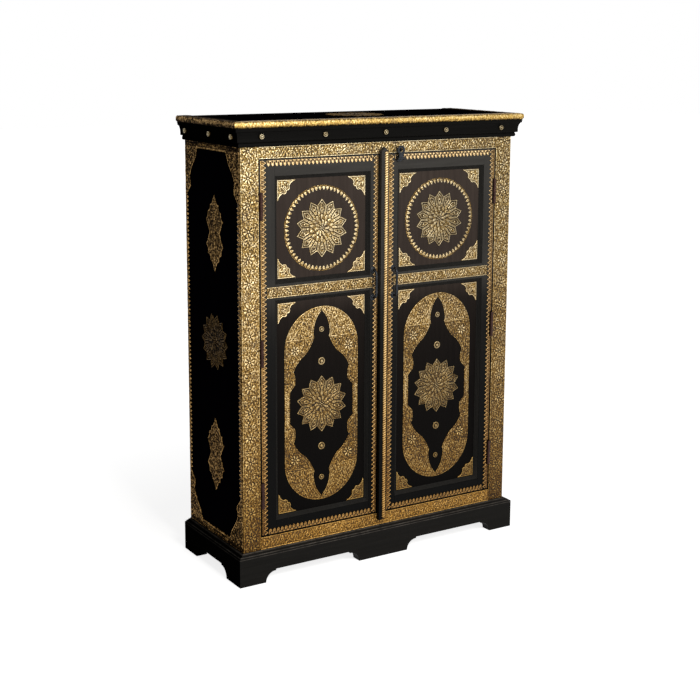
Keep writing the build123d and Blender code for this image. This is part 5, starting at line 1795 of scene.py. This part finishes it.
# Lamps: place, side of the square, share of the key lamp's power and colour.
LAMPS = {"key": ((-0.30, -2.75, 2.45), 1.1, 1.0, (1.0, 0.985, 0.955)),
         "front": ((0.9, -3.6, 1.4), 1.6, 0.55, (1.0, 0.99, 0.975))}
CAMERA_PLACE = (-2.2139, -3.5338, 1.5963)
CAMERA_TURN = (31.916, 9.854, 0.263)     # yaw, pitch and roll, in degrees
LENS_SHIFT = -0.1093


class CABINET_OT_stage(bpy.types.Operator):
    """Floor, lamps, sky and camera"""

    bl_idname = "cabinet.stage"
    bl_label = "Stage"
    bl_options = {"REGISTER", "UNDO"}

    def execute(self, context):
        scene = context.scene
        settings = scene.cabinet_stage
        scene.view_settings.view_transform = "Standard"
        self.floor(settings)
        self.sky(scene, settings)
        for name, (place, size, share, colour) in LAMPS.items():
            data = bpy.data.lights.new(name, "AREA")
            data.shape = "RECTANGLE"
            data.size = data.size_y = size
            data.energy = settings.key * share
            data.color = colour
            lamp = bpy.data.objects.new(name, data)
            lamp.location = place
            lamp.rotation_euler = (Vector(TARGET) - Vector(place)).to_track_quat("-Z", "Y").to_euler()
            scene.collection.objects.link(lamp)
        self.camera(scene, settings)
        return {"FINISHED"}

    def floor(self, settings):
        bpy.ops.object.select_all(action="DESELECT")
        bpy.ops.mesh.primitive_plane_add(size=40)
        floor = bpy.context.object
        floor.name = "floor"
        g = Graph("floor")
        colour = tuple(settings.floor)
        lit = g.node("BsdfDiffuse", Color=tuple(0.80 * c for c in colour)).outputs[0]
        path = g.node("LightPath").outputs
        seen = g.math("MAXIMUM", path["Is Camera Ray"], g.math("MAXIMUM", path["Is Glossy Ray"],
                                                               path["Is Transmission Ray"]))
        where = g.node("TexCoord").outputs["Object"]
        away = g.node("VectorMath", {"operation": "LENGTH"}, i0=where).outputs["Value"]
        strength = g.math("MULTIPLY", seen, g.spread(away, 0.80, 1.0, 0.7, 2.0))
        glow = g.node("Emission", Color=colour, Strength=strength).outputs[0]
        both = g.node("AddShader", i0=lit, i1=glow).outputs[0]
        g.tree.links.new(both, g.out.inputs[0])
        floor.data.materials.append(g.material)

    def sky(self, scene, settings):
        world = bpy.data.worlds.new("sky")
        world.use_nodes = True
        tree = world.node_tree
        tree.nodes.clear()

        def add(kind, *inputs):
            made = tree.nodes.new("ShaderNode" + kind)
            for n, value in enumerate(inputs):
                if isinstance(value, bpy.types.NodeSocket):
                    tree.links.new(value, made.inputs[n])
                else:
                    made.inputs[n].default_value = value
            return made

        path = add("LightPath").outputs
        rays = add("Math", path["Is Camera Ray"], path["Is Glossy Ray"])
        seen = add("Math", rays.outputs[0], path["Is Transmission Ray"])
        rays.operation = seen.operation = "MAXIMUM"
        lit = add("Background", (1, 1, 1, 1), settings.sky)
        shown = add("Background", (*settings.floor, 1), 1.0)
        mix = add("MixShader", seen.outputs[0], lit.outputs[0], shown.outputs[0])
        add("OutputWorld", mix.outputs[0])
        scene.world = world

    def camera(self, scene, settings):
        data = bpy.data.cameras.new("camera")
        data.sensor_width = 36.0
        data.lens = settings.lens
        data.shift_y = LENS_SHIFT
        data.clip_end = 100
        camera = bpy.data.objects.new("camera", data)
        yaw, pitch, roll = (math.radians(a) for a in CAMERA_TURN)
        forward = Vector((math.sin(yaw) * math.cos(pitch), math.cos(yaw) * math.cos(pitch), -math.sin(pitch)))
        turn = forward.to_track_quat("-Z", "Y")
        camera.rotation_mode = "QUATERNION"
        camera.rotation_quaternion = turn @ Euler((0, 0, roll)).to_quaternion()
        camera.location = CAMERA_PLACE
        scene.collection.objects.link(camera)
        scene.camera = camera


PIECES = (CABINET_OT_case, CABINET_OT_front_frame, CABINET_OT_plinth, CABINET_OT_cornice, CABINET_OT_top,
          CABINET_OT_frame_brass, CABINET_OT_side_brass, CABINET_OT_door_wood, CABINET_OT_door_edges,
          CABINET_OT_corner_pieces, CABINET_OT_medallions, CABINET_OT_arch_plates, CABINET_OT_studs,
          CABINET_OT_handles, CABINET_OT_hinges, CABINET_OT_astragal, CABINET_OT_hasp, CABINET_OT_stage)


class CABINET_PT_panel(bpy.types.Panel):
    """Lists the pieces of the cabinet and their settings"""

    bl_idname = "CABINET_PT_panel"
    bl_label = "Cabinet"
    bl_space_type = "VIEW_3D"
    bl_region_type = "UI"
    bl_category = "Cabinet"

    def draw(self, context):
        for group in (context.scene.cabinet_wood, context.scene.cabinet_brass, context.scene.cabinet_stage):
            box = self.layout.box()
            for key in group.__annotations__:
                box.prop(group, key)
        for piece in PIECES:
            self.layout.operator(piece.bl_idname)


SETTINGS = (("cabinet_wood", WoodSettings), ("cabinet_brass", BrassSettings), ("cabinet_stage", StageSettings))


def register():
    for name, group in SETTINGS:
        bpy.utils.register_class(group)
        setattr(bpy.types.Scene, name, bpy.props.PointerProperty(type=group))
    for piece in PIECES:
        bpy.utils.register_class(piece)
    bpy.utils.register_class(CABINET_PT_panel)


def unregister():
    bpy.utils.unregister_class(CABINET_PT_panel)
    for piece in reversed(PIECES):
        bpy.utils.unregister_class(piece)
    for name, group in reversed(SETTINGS):
        delattr(bpy.types.Scene, name)
        bpy.utils.unregister_class(group)


def main():
    register()
    for piece in PIECES:
        group, name = piece.bl_idname.split(".")
        getattr(getattr(bpy.ops, group), name)()


if __name__ == "__main__":
    main()
